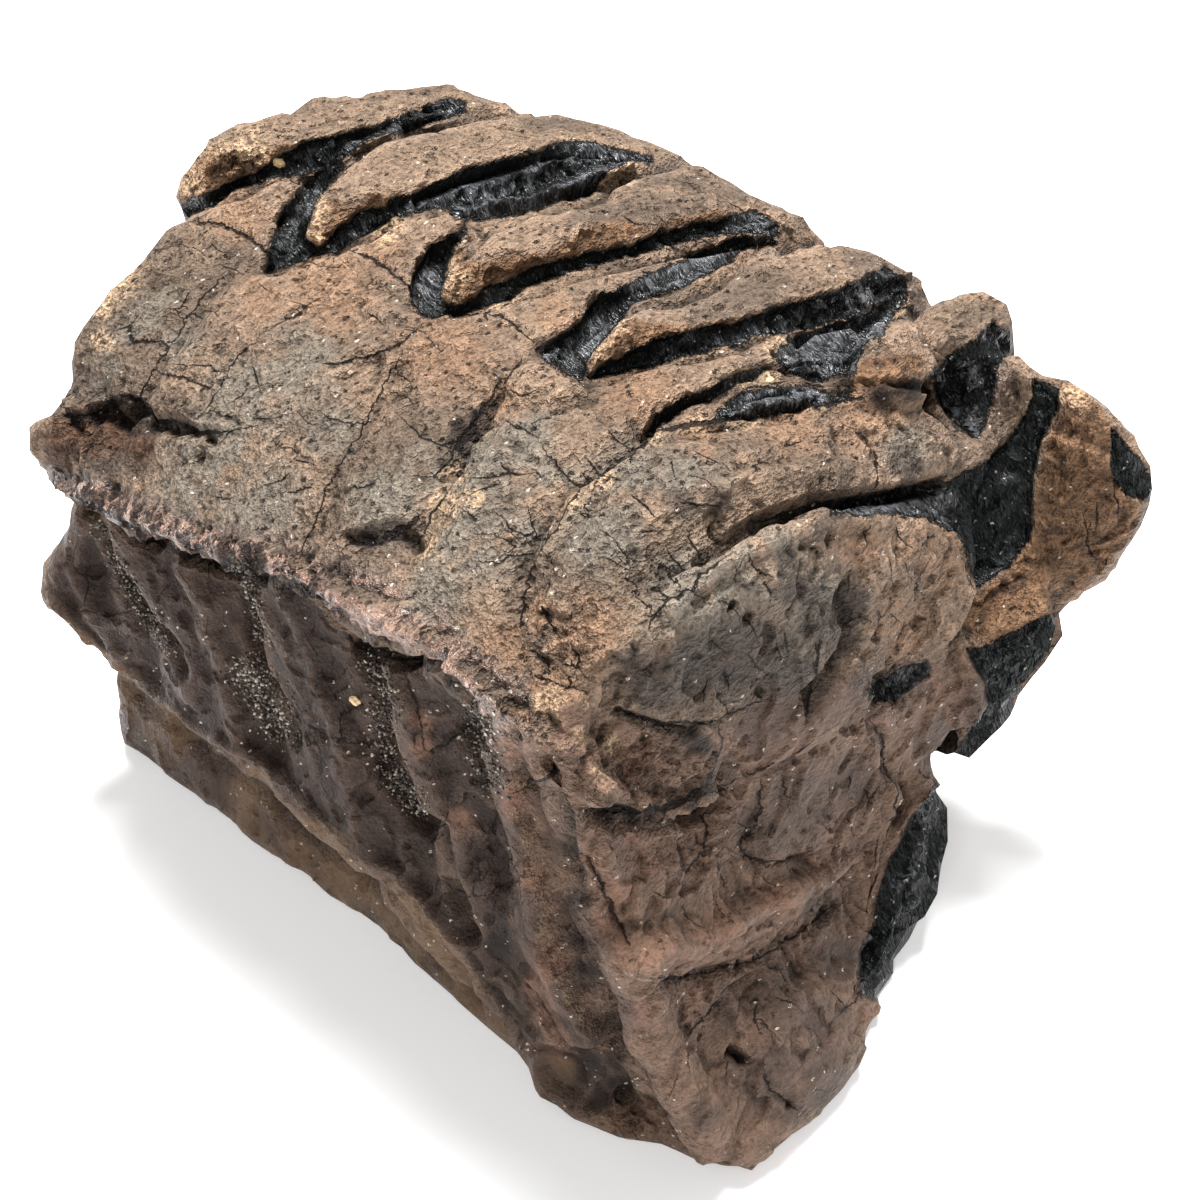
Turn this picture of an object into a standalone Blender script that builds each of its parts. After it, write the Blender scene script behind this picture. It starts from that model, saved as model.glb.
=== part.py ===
"""Fossil mammoth molar: a broken block of the crown, one natural solid.

The block stands on a flat break. X runs along the tooth, from its back break to its front plate,
Y runs across it, from the ribbed wall to the far side, and Z is up. Lengths are in millimetres
until the mesh is scaled to metres.
"""

import bmesh
import bpy
import numpy as np
from mathutils import Matrix, Vector, noise

# ---- The block: rails that run along the tooth, listed once round its section ----
# Each rail has one point at the back break, three along the tooth and one at the front plate.
RAILS = {
    "foot": ((-58, -21, 0), (-36, -21, 0), (-13, -21, 0), (12, -23, 0), (33, -22, 0)),
    "foot_top": ((-57, -21, 15), (-35, -22, 13), (-11, -22, 10), (11, -24, 6), (35, -22, 5)),
    "lip": ((-57, -27, 25), (-34, -27, 21), (-9, -27, 17), (8, -27, 11), (33, -25, 12)),
    "wall": ((-53, -27, 37), (-30, -26, 38), (-8, -26, 36), (12, -27, 33), (29, -29, 33)),
    "neck": ((-50, -27, 44), (-29, -26, 48), (-7, -27, 52), (13, -29, 52), (25, -32, 50)),
    "rim_under": ((-49, -29, 47), (-28, -31, 50), (-6, -31, 55), (13, -32, 55), (23, -33, 54)),
    "rim": ((-49, -29, 54), (-28, -32, 55), (-5, -32, 60), (13, -32, 60), (22, -34, 58)),
    "shoulder": ((-51, -21, 61), (-31, -22, 64), (-8, -22, 66), (12, -24, 66), (24, -27, 62)),
    "tips": ((-54, -8, 66), (-34, -5, 68), (-10, -6, 69), (12, -8, 69), (26, -15, 63)),
    "crown": ((-57, 5, 70), (-36, 8, 70), (-10, 8, 70), (13, 8, 68), (27, -2, 61)),
    "far_top": ((-58, 24, 68), (-36, 30, 67.5), (-10, 28, 66.5), (14, 24, 65), (27, 12, 56)),
    "far_edge": ((-57, 41, 61), (-36, 46, 60.5), (-10, 44, 59.5), (14, 41, 58), (26, 29, 52)),
    "far_side": ((-56, 44, 42), (-36, 48, 42), (-12, 46, 40), (14, 42, 40), (29, 30, 38)),
    "far_under": ((-56, 38, 16), (-36, 40, 16), (-12, 37, 16), (14, 32, 18), (27, 21, 18)),
    "far_foot": ((-54, 26, 0), (-36, 28, 0), (-12, 27, 0), (14, 24, 0), (27, 17, 0)),
    "base": ((-54, 4, 0), (-36, 4, 0), (-12, 2, 0), (12, 0, 0), (36, -8, 0)),
}
STATION_STEPS = 60
SECTION_STEPS = 160

# ---- Lumps that stand out of the block, each the hull of a few points ----
LUMPS = {
    "stub of the next plate": (
        (20, 30, 27), (24, 40, 26), (30, 36, 30), (35, 37, 40), (39, 37, 50), (38, 38, 54),
        (34, 36, 59), (29, 36, 61), (24, 40, 57), (22, 34, 56), (20, 44, 45), (33, 46, 40),
        (35, 43, 49.5), (30.5, 45, 50.5), (24, 46, 53), (24, 46, 30),
    ),
    "root of the stub": (
        (22, 20, 25), (27, 26, 21), (31, 25.5, 25.5), (34.5, 28, 32), (36, 27, 37), (35, 31, 42),
        (26, 34, 40), (24, 36, 24), (29, 22, 34),
    ),
    "enamel under the stub": (
        (28, 46.5, 27), (28, 47, 22), (27.5, 44.5, 19.5), (28, 41.5, 17.5), (28, 36.5, 17), (28, 30, 16.5),
        (28, 25, 15), (24, 43, 33), (20, 44, 35), (18, 43, 26), (18, 36, 16), (20, 28, 14), (26, 36, 34),
        (30, 38, 27),
    ),
    "rim corner": (
        (-51.5, -26, 56.5), (-50.5, -30, 54), (-50.5, -30.5, 48.5), (-46, -32, 52), (-44, -30.5, 58),
        (-50, -22, 59), (-53, -24, 50), (-42, -26, 50), (-46, -24, 60),
    ),
    "back lip corner": (
        (-57, -27, 24), (-58, -27, 30), (-55, -29.5, 31), (-54, -29, 26), (-50, -26, 22),
        (-52, -22, 36), (-58, -20, 28), (-50, -27.5, 36), (-55, -26, 36),
    ),
    "black ridge": (
        (28, 19, 22), (30.5, 18.5, 21.5), (31.5, 19, 15.5), (29, 24, 11), (31, 20, 8), (33.5, 14.5, 10),
        (34, 9.5, 7), (34.5, 5, 3.5), (28, 8, 0), (25, 20, 0), (24, 22, 18), (28, 14, 16),
        (27, 24, 3), (31, 15, 0), (33.5, 6, 0),
    ),
    "far front knob": (
        (10, 36, 60), (15, 41, 62), (20.5, 38.5, 62), (24.5, 35.5, 61), (24, 38, 54),
        (18, 43, 52), (10, 42, 52), (14, 30, 62), (22, 30, 58),
    ),
    "back plate": (
        (-61, -2, 60), (-59, -3, 65.5), (-58.5, 0.5, 69.5), (-57, 7, 70.5), (-56, 18, 69.5),
        (-57, 28, 68), (-61, 28, 61), (-52, 2, 66), (-50, 10, 69), (-50, 24, 68), (-60, 24, 60),
        (-54, -2, 62),
    ),
    "foot knob": (
        (13, -24, 0), (17, -26, 0), (22, -26, 0), (28, -24, 0), (14, -26, 5), (18, -28.5, 4),
        (22, -28.8, 4), (27, -27, 4), (18, -29, 10), (24, -28.5, 10), (15, -26, 14),
        (22, -27, 16), (28, -25, 12), (14, -18, 0), (28, -18, 0), (15, -18, 14), (28, -18, 14),
    ),
    "front foot": (
        (33, -22, 0), (36, -19, 0), (37, -14, 0), (37.5, -8, 0), (36, 0, 0), (33.5, 7, 0),
        (38, -20, 4), (39, -14, 5), (39, -7, 6), (37, -1, 8), (34, 5, 8), (34, -22, 10),
        (35, -12, 18), (28, -15, 0), (28, 6, 0), (28, -14, 18),
    ),
}

# ---- Crown forms: X and Y seen from above, painted in this order at a level ----
# Y runs on past the far edge and down the far side. DOWN is beyond the foot of that side.
DOWN = 130
FIELD = -3.4
PLATE = 1.0
CEMENT = -0.5
CROWN_FORMS = {
    "worn enamel": (FIELD, 1.6, (
        (-56, -5), (-52, -7), (-45, -7), (-39, -8.5), (-36, -8), (-33, -3.5), (-24, -3), (-20, -5.5),
        (-16, -5.5), (-13, -4), (-6, -3), (-3, -5.5), (2, -6), (6, -5), (11, -7), (16, -9),
        (18, 0), (21, 14), (23, 24), (24, 45), (22, DOWN), (-52, DOWN), (-52, 25), (-55, 3),
    )),
    "first plate": (PLATE, 1.4, (
        (-63, -8), (-57, -4), (-53.5, 2), (-50.5, 6), (-49, 10), (-48, 14), (-48, 21), (-49.5, 28),
        (-50, 45), (-50, DOWN), (-75, DOWN), (-75, -8),
    )),
    "second plate": (PLATE, 1.4, (
        (-38, -3), (-40.5, -1), (-41.5, 3), (-43.5, 8), (-44, 14.5), (-43, 20), (-43, 26), (-44, 40),
        (-44, DOWN), (-27, DOWN), (-26, 44), (-26.5, 36), (-30, 31), (-31.5, 23), (-31.5, 16),
        (-32, 10.5), (-32.5, 6), (-35, 5), (-35.5, 1), (-36, -2.5),
    )),
    "third plate": (PLATE, 1.4, (
        (-18, -3), (-19.7, -1), (-20, 3), (-21, 6), (-21.5, 9), (-20.5, 15.5), (-20, 21.5),
        (-23.5, 30), (-24, 40), (-24, DOWN), (-6, DOWN), (-7, 44), (-10, 34), (-12.5, 28), (-12, 20),
        (-14, 16), (-13.7, 9), (-16.5, 4), (-17, 0), (-17, -2.5),
    )),
    "fourth plate": (PLATE, 1.4, (
        (1, -4), (-0.7, -2), (-1.5, 2), (-1, 6), (0.5, 10), (0.3, 15), (-1, 21), (-2.5, 25),
        (-2, 33), (-3, 45), (-3, DOWN), (9, DOWN), (8, 44), (7.5, 32), (8, 20), (7, 13), (5, 6.5),
        (2, 4), (1.7, 0), (2, -3),
    )),
    "first cement": (CEMENT, 1.2, (
        (-53, -6), (-51.5, -3), (-50, -0.5), (-48.5, 2.5), (-46, 4.5), (-43.5, 2), (-44, -0.5),
        (-42, -2), (-40, -4), (-39.7, -6), (-43, -9), (-52, -9),
    )),
    "second cement": (CEMENT, 1.2, (
        (-33.5, -4), (-32.5, 0), (-32, 4), (-31, 6.5), (-29, 10), (-25, 8.5), (-26, 5), (-25.5, 1.5),
        (-23, -1), (-21, -4), (-24, -6), (-32, -6),
    )),
    "third cement": (CEMENT, 1.2, (
        (-14.5, -6), (-13, -1), (-11, 6.5), (-9, 13), (-8.5, 20), (-8, 27), (-7, 36), (-5.5, 34),
        (-5, 26), (-3, 17.5), (-3.2, 12), (-6.3, 7), (-4.3, 1), (-4, -6),
    )),
    "fourth cement": (CEMENT, 1.2, (
        (3.5, -6), (4.5, -2), (6.2, 4), (8.2, 9), (9.7, 18), (11, 25), (13, 24), (14.3, 17.5),
        (13, 12), (11.5, 5.5), (10.7, -0.5), (10.5, -7),
    )),
    "thin plate": (0.6, 1.0, (
        (13.5, -8), (12.7, -2.5), (13, 1), (13.7, 8), (17, 14.5), (18, 13.5), (16.5, 8), (15, 1.5),
        (14.5, -5),
    )),
    "fifth plate": (0.8, 1.6, (
        (14.5, -13), (15.2, -5), (16.7, 2.5), (18.7, 13), (20.5, 23), (22, 26), (26, 26), (26, 10),
        (25, -8), (24, -22), (19, -22),
    )),
    "broken end": (1.2, 1.2, (
        (17.5, 15), (15, 20.5), (13.5, 27), (12.5, 33), (12, 40), (12, DOWN), (19, DOWN), (19.5, 42),
        (20.5, 36.5), (17.7, 32), (18.3, 27.5), (20, 22), (19.3, 17),
    )),
    "curved end": (1.0, 1.2, (
        (22, 42), (26, 40), (26, 34), (25, 30), (23.5, 28.5), (23, 31), (22.5, 34), (21.5, 38),
    )),
}
FAR_EDGE_TOP = 60
FAR_SIDE_START = 15
FAR_SIDE_BLEND = 10
CROWN_FACES = 0.2
CROWN_BLEND = 0.3
CROWN_LOWEST = 2

# ---- Front face forms: Y and Z seen from the front ----
FRONT_FORMS = {
    "front roll": (2.2, 4.0, (
        (-34, 54), (-28, 64), (-21, 67), (-14, 68), (-4, 67), (4, 64), (14, 57), (22, 50), (25.5, 45),
        (24, 38), (15, 40), (8, 41), (2, 40), (-5, 42), (-12, 43), (-15, 47), (-17, 43), (-20, 42.5),
        (-25, 46), (-31, 49),
    )),
}

FRONT_FACES = 0.1
FRONT_BLEND = 0.4
FRONT_START = 15

# ---- Lines: height and half width of a rib or groove that follows points on the surface ----
LINES = {
    "groove behind the front roll": (-2.6, 2.6, (
        (22.5, -20, 64.5), (23, -13.5, 65), (23.5, -6, 64.5), (24.5, 1, 63), (25.5, 10, 59), (26, 20, 56),
    )),
    "valley beside the stub": (-3.5, 4.5, (
        (23, 33, 60), (25.5, 31, 55), (26.5, 29, 50), (27, 27, 45), (27.5, 25, 41), (28, 22, 38),
    )),
    "hollow behind the curved end": (-3.0, 3.5, ((18.5, 29, 61), (20.5, 33, 59), (21, 30, 57))),
    "enamel fold": (1.6, 1.6, (
        (-34.5, 2, 68), (-34, 8, 68.5), (-31, 11.5, 68.5), (-29, 15, 68.5), (-28.5, 20, 68),
        (-28.5, 26, 67), (-28, 34, 65),
    )),
    "wall groove 0": (-1.6, 3.0, ((-49, -25.5, 43), (-49.5, -26, 35), (-47.5, -26, 30))),
    "wall groove 1": (-3.0, 3.6, (
        (-46, -25, 42), (-43.5, -25, 35), (-41.5, -25.5, 31), (-40.5, -25.5, 24),
    )),
    "wall rib 1": (1.4, 4.0, ((-43, -27, 44), (-38, -27, 38), (-34.5, -27, 33), (-33, -27.5, 26))),
    "wall groove 2": (-3.2, 4.2, (
        (-27.5, -24, 45), (-24.5, -24, 41), (-23.5, -24.5, 36), (-22.5, -25, 30), (-21.5, -25.5, 25),
    )),
    "wall rib 2": (1.6, 4.0, (
        (-19, -26, 46), (-16.5, -26.5, 41), (-14.5, -26.5, 35), (-12, -27, 30), (-10, -27.5, 25),
    )),
    "wall groove 3": (-3.2, 4.4, (
        (-7, -24.5, 47), (-5, -24.5, 40), (-4, -24.5, 34), (-1.5, -25, 30), (0.5, -25, 26),
    )),
    "wall rib 3": (1.3, 3.4, ((1, -27.5, 47), (1, -27, 41), (2, -27, 35), (4, -27, 31), (6, -27, 26))),
    "wall groove 4": (-3.0, 3.8, ((8.5, -26, 48), (8.5, -26, 42), (10, -25.5, 36), (11.5, -25.5, 24))),
    "corner rib": (1.8, 3.2, (
        (18, -32, 56), (16.5, -29, 46), (17, -28.5, 37.5), (17, -28, 29.5), (18, -27.5, 23.5),
        (20.5, -27.5, 19.5), (23, -27, 15.5),
    )),
    "corner groove": (-3.8, 3.6, (
        (19.5, -28, 50), (19.5, -27, 44), (20, -26, 36), (20.5, -25.5, 30), (22, -25, 24),
        (24, -24, 16), (26, -23, 12),
    )),
    "foot hollow": (-3.5, 5.0, ((20, -27, 8), (24, -26, 7), (28, -24.5, 5))),
    "front edge": (1.6, 3.0, (
        (24, -31.5, 53.5), (25.5, -31, 48.5), (26, -30, 42.5), (26.5, -29.5, 37.5), (28.5, -28.5, 34),
        (29, -28, 28), (30, -26.5, 21), (32.5, -25, 14.5), (34, -22, 5),
    )),
    "front shelf": (1.3, 3.4, (
        (29.5, -27, 32.5), (30.5, -20.5, 28.5), (30.5, -11.5, 25.5), (29.5, 1, 21), (29, 8, 22),
    )),
    "shelf groove": (-1.4, 2.2, ((29.5, -23, 26.5), (30.5, -16.5, 22.5), (30.5, -4, 18.5), (29, 2.5, 15))),
    "under the roll": (-1.5, 3.2, ((26, -24, 42), (27, -19, 39), (27.5, -16, 38), (28, -14, 44))),
    "gap over the ridge": (-2.2, 2.6, ((30, 16, 27), (30, 19, 19), (30, 17, 12), (31, 12, 8))),
    "back corner pocket": (-2.6, 5.0, ((-50, -27, 56), (-44, -27, 57.5), (-38, -27.5, 58.5))),
    "rim slot": (-2.5, 2.4, ((-7, -26, 49.5), (-2, -26, 50.5), (2, -27, 51))),
}

# ---- Shallow grooves that part the fingers of the plate on the back break ----
# Each groove runs down the break at one place across it.
FINGER_PLACES = (-15, -6, 4, 14, 25, 35)
FINGER_RISE = -1.5
FINGER_HALF_WIDTH = 3.0
BREAK_X = -57
FINGER_TOP_Z = 61
FINGER_FOOT_Z = 6

# ---- Finish ----
VOXEL = 1.1
SMOOTH_ROUNDS = 5
ROUGH_HEIGHT = 0.55
ROUGH_SIZE = 9.0
FACE_LIMIT = 9600
BASE_CUT = 0.5
BASE_CENTRE = (-10.9, 7.7, BASE_CUT)
TO_METRES = 0.001
BROWN = (0.235, 0.158, 0.104, 1)
DULL = 0.62


def smooth_line(points, count, closed=False):
    """Reads count points off a Catmull-Rom curve through points, which may be rows of points."""
    points = np.asarray(points, float)
    n = len(points)
    spans = n if closed else n - 1
    at = np.linspace(0, spans, count, endpoint=not closed)
    i = np.minimum(at.astype(int), spans - 1)
    t = (at - i).reshape((-1,) + (1,) * (points.ndim - 1))
    if closed:
        a, b, c, d = (points[(i + k) % n] for k in (-1, 0, 1, 2))
    else:
        first = 2 * points[:1] - points[1:2]
        last = 2 * points[-1:] - points[-2:-1]
        padded = np.concatenate([first, points, last])
        a, b, c, d = (padded[i + k] for k in (0, 1, 2, 3))
    return 0.5 * (2 * b + (c - a) * t + (2 * a - 5 * b + 4 * c - d) * t**2
                  + (3 * b - a - 3 * c + d) * t**3)


def smooth_step(x):
    """Rises from 0 at x = 0 to 1 at x = 1."""
    x = np.clip(x, 0, 1)
    return x * x * (3 - 2 * x)


def distance_to_spans(points, line):
    """Gives each point's distance to the nearest straight span of a line."""
    nearest = np.full(len(points), np.inf)
    for start, end in zip(line[:-1], line[1:]):
        span = end - start
        at = np.clip((points - start) @ span / max(span @ span, 1e-9), 0, 1)
        away = points - start - at[:, None] * span
        nearest = np.minimum(nearest, np.einsum("ij,ij->i", away, away))
    return np.sqrt(nearest)


def depth_inside(points, outline):
    """Gives each point's distance to a closed outline, positive inside it."""
    ring = np.vstack([outline, outline[:1]])
    inside = np.zeros(len(points), bool)
    for (x0, y0), (x1, y1) in zip(ring[:-1], ring[1:]):
        crosses = (points[:, 1] < y0) != (points[:, 1] < y1)
        if y0 != y1:
            inside ^= crosses & (points[:, 0] < x0 + (points[:, 1] - y0) * (x1 - x0) / (y1 - y0))
    return np.where(inside, 1, -1) * distance_to_spans(points, ring)


def block():
    """Lofts the rails into one closed block with a cap at each end."""
    rails = np.array(list(RAILS.values()), float)
    along = smooth_line(rails.transpose(1, 0, 2), STATION_STEPS)
    sections = smooth_line(along.transpose(1, 0, 2), SECTION_STEPS, closed=True).transpose(1, 0, 2)
    mesh = bmesh.new()
    rows = [[mesh.verts.new(p) for p in section] for section in sections]
    for row, following in zip(rows[:-1], rows[1:]):
        for j in range(SECTION_STEPS):
            k = (j + 1) % SECTION_STEPS
            mesh.faces.new((row[j], row[k], following[k], following[j]))
    for ring, section in ((rows[0], sections[0]), (rows[-1], sections[-1])):
        hub = mesh.verts.new(section.mean(axis=0))
        for j in range(SECTION_STEPS):
            mesh.faces.new((ring[j], ring[(j + 1) % SECTION_STEPS], hub))
    bmesh.ops.recalc_face_normals(mesh, faces=mesh.faces)
    return mesh


def add_hull(mesh, points):
    """Adds the closed hull of a few points to the mesh."""
    corners = [mesh.verts.new(p) for p in points]
    hull = bmesh.ops.convex_hull(mesh, input=corners)
    spare = [v for v in hull["geom_interior"] if isinstance(v, bmesh.types.BMVert)]
    bmesh.ops.delete(mesh, geom=spare, context="VERTS")


def bake_modifiers(piece):
    """Applies the piece's modifiers to its mesh."""
    shaped = piece.evaluated_get(bpy.context.evaluated_depsgraph_get())
    baked = bpy.data.meshes.new_from_object(shaped)
    piece.modifiers.clear()
    piece.data = baked


def fuse(piece, voxel, smoothing):
    """Makes one closed skin of all the piece's overlapping shapes."""
    remesh = piece.modifiers.new("one skin", "REMESH")
    remesh.mode = "VOXEL"
    remesh.voxel_size = voxel
    soften = piece.modifiers.new("soften", "SMOOTH")
    soften.iterations = smoothing
    bake_modifiers(piece)


def finger_grooves():
    """Lists the back break's grooves in the form of LINES' values."""
    ends = [((BREAK_X, y, FINGER_TOP_Z), (BREAK_X, y, FINGER_FOOT_Z)) for y in FINGER_PLACES]
    return [(FINGER_RISE, FINGER_HALF_WIDTH, line) for line in ends]


def relief(places, outward):
    """Gives the height of every form at points on the block, along the outward directions."""
    x, y, z = places.T
    height = np.zeros(len(places))

    past_edge = np.maximum(FAR_EDGE_TOP - z, 0) * smooth_step((y - FAR_SIDE_START) / FAR_SIDE_BLEND)
    from_above = np.column_stack([x, y + past_edge])
    faces_up = np.maximum(outward[:, 2], outward[:, 1])
    on_crown = smooth_step((faces_up - CROWN_FACES) / CROWN_BLEND) * (z > CROWN_LOWEST)
    for level, edge, outline in CROWN_FORMS.values():
        depth = depth_inside(from_above, smooth_line(outline, 6 * len(outline), closed=True))
        share = smooth_step(depth / edge + 0.5)
        height = height * (1 - share) + level * share
    height *= on_crown

    from_front = np.column_stack([y, z])
    on_front = smooth_step((outward[:, 0] - FRONT_FACES) / FRONT_BLEND) * (x > FRONT_START)
    for rise, edge, outline in FRONT_FORMS.values():
        depth = depth_inside(from_front, smooth_line(outline, 6 * len(outline), closed=True))
        height += rise * smooth_step(depth / edge + 0.5) * on_front

    for rise, half_width, line in [*LINES.values(), *finger_grooves()]:
        away = distance_to_spans(places, smooth_line(line, 6 * len(line)))
        height += rise * smooth_step(1 - away / half_width)
    return height


def roughness(places):
    """Gives the uneven height of old, weathered surfaces."""
    return np.array([noise.fractal(Vector(p) / ROUGH_SIZE, 1.0, 2.0, 3) for p in places])


def carve(piece):
    """Raises and sinks the block's skin by its relief."""
    mesh = piece.data
    count = len(mesh.vertices)
    places = np.empty(count * 3, np.float32)
    outward = np.empty(count * 3, np.float32)
    mesh.vertices.foreach_get("co", places)
    mesh.vertices.foreach_get("normal", outward)
    places = places.reshape(-1, 3).astype(float)
    outward = outward.reshape(-1, 3).astype(float)
    height = relief(places, outward) + ROUGH_HEIGHT * roughness(places)
    moved = places + outward * height[:, None]
    mesh.vertices.foreach_set("co", moved.astype(np.float32).ravel())
    mesh.update()


def cut_base(piece):
    """Cuts the piece off flat just above its lowest points."""
    mesh = bmesh.new()
    mesh.from_mesh(piece.data)
    geometry = mesh.verts[:] + mesh.edges[:] + mesh.faces[:]
    cut = bmesh.ops.bisect_plane(
        mesh, geom=geometry, plane_co=(0, 0, BASE_CUT), plane_no=(0, 0, 1), clear_inner=True)
    rim = [e for e in cut["geom_cut"] if isinstance(e, bmesh.types.BMEdge)]
    bmesh.ops.triangle_fill(mesh, use_beauty=True, use_dissolve=False, edges=rim, normal=(0, 0, -1))
    bmesh.ops.remove_doubles(mesh, verts=mesh.verts, dist=0.02)
    bmesh.ops.triangulate(mesh, faces=mesh.faces)
    bmesh.ops.recalc_face_normals(mesh, faces=mesh.faces)
    mesh.to_mesh(piece.data)
    mesh.free()


def thin_out(piece, limit):
    """Lowers the number of faces, keeping the shape."""
    fewer = piece.modifiers.new("fewer faces", "DECIMATE")
    fewer.ratio = limit / sum(len(f.vertices) - 2 for f in piece.data.polygons)
    fewer.use_collapse_triangulate = True
    bake_modifiers(piece)


def brown_fossil():
    """Makes the dull brown of old cement and dentine."""
    material = bpy.data.materials.new("brown fossil")
    material.use_nodes = True
    shader = material.node_tree.nodes["Principled BSDF"]
    shader.inputs["Base Color"].default_value = BROWN
    shader.inputs["Roughness"].default_value = DULL
    shader.inputs["Metallic"].default_value = 0
    return material


def tooth():
    """Builds the tooth: block and lumps made one skin, carved, thinned and cut off flat below."""
    mesh = block()
    for points in LUMPS.values():
        add_hull(mesh, points)
    data = bpy.data.meshes.new("tooth")
    mesh.to_mesh(data)
    mesh.free()
    piece = bpy.data.objects.new("tooth", data)
    bpy.context.scene.collection.objects.link(piece)
    fuse(piece, VOXEL, SMOOTH_ROUNDS)
    carve(piece)
    fuse(piece, VOXEL, 1)
    thin_out(piece, FACE_LIMIT)
    cut_base(piece)
    piece.data.transform(Matrix.Scale(TO_METRES, 4) @ Matrix.Translation(-Vector(BASE_CENTRE)))
    piece.data.materials.append(brown_fossil())


for old in list(bpy.data.objects):
    bpy.data.objects.remove(old)
tooth()
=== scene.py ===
"""A broken block of a fossil mammoth molar, with the sand that is still stuck in its grooves.

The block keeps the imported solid's form. Here it gets its fine surface: crisp plate edges, black
enamel in the furrows, cracks, pockets, pores and the ragged rim. Lengths are in millimetres until
a mesh is finished.
"""

from math import cos, radians, sin

import bpy
import numpy as np
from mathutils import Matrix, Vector
from mathutils.bvhtree import BVHTree


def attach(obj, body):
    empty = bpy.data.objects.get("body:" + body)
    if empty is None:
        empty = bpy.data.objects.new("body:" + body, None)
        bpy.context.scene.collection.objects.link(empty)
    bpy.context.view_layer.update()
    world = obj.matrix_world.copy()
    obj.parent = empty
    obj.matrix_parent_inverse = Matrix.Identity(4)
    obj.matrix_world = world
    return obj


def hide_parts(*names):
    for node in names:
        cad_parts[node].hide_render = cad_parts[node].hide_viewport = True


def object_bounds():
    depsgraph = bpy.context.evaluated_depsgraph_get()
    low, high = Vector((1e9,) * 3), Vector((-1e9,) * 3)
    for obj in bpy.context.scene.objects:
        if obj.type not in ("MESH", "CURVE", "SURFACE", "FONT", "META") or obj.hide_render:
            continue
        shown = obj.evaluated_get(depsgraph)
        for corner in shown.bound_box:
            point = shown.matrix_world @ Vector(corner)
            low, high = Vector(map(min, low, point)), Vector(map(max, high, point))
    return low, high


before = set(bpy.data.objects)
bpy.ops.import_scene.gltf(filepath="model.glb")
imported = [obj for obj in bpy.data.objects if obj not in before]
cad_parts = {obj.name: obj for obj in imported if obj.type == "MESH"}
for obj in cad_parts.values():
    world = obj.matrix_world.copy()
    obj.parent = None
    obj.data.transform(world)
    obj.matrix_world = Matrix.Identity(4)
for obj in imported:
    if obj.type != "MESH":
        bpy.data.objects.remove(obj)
cad_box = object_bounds()
bpy.ops.object.select_all(action="DESELECT")
TO_MM = 1000

# ---- Camera ----
# It looks down on the block's front corner. Its picture is 1200 by 1200, and the places of small
# features are given as points in that picture: each lies where a ray from here meets the tooth.
PICTURE = 1200
LENS = 60
SENSOR = 36
TURNED = radians(42)
RAISED = radians(38)
LOOKS_AT = np.array((10.9, -7.7, 39.5))
STANDS_OFF = 200
ACROSS = np.array((cos(TURNED), sin(TURNED), 0))
AHEAD = np.array((-sin(TURNED) * cos(RAISED), cos(TURNED) * cos(RAISED), -sin(RAISED)))
UPWARD = np.cross(ACROSS, AHEAD)
EYE = LOOKS_AT - AHEAD * STANDS_OFF
bpy.ops.object.camera_add(location=EYE / TO_MM, rotation=(radians(90) - RAISED, 0, TURNED))
camera = bpy.context.object
camera.name = "camera"
camera.data.lens = LENS
camera.data.sensor_width = SENSOR
camera.data.clip_start = 0.01
bpy.context.scene.camera = camera


def in_picture(places):
    """Gives where places on the tooth show in the picture."""
    away = places - EYE
    reach = PICTURE * LENS / SENSOR / (away @ AHEAD)
    return PICTURE / 2 + np.column_stack([away @ ACROSS * reach, -(away @ UPWARD) * reach])


def on_tooth(points, surface):
    """Finds the places on a surface that picture points show, leaving out those that miss it."""
    found = []
    for x, y in points:
        ray = AHEAD * LENS
        ray = ray + ACROSS * (x / PICTURE - 0.5) * SENSOR + UPWARD * (0.5 - y / PICTURE) * SENSOR
        place = surface.ray_cast(Vector(EYE), Vector(ray).normalized())[0]
        if place is not None:
            found.append(place)
    return np.array(found).reshape(-1, 3)


# ---- The tooth ----
# One natural block of cement, dentine and enamel that grew together. Its skin starts as a close
# mesh over the solid. Forms are then carved into the skin, largest first.
#
# How near points are merged and how close the mesh is, in millimetres. Then how often the mesh is
# softened, its triangles in the end, its sharp edges, and about how many picture points span a
# millimetre.
SAME_PLACE = 0.01
SKIN_VOXEL = 0.4
SKIN_SMOOTHING = 2
SKIN_TRIANGLES = 196_000
SHARP_FROM = radians(24)
POINTS_PER_MM = 10

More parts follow.
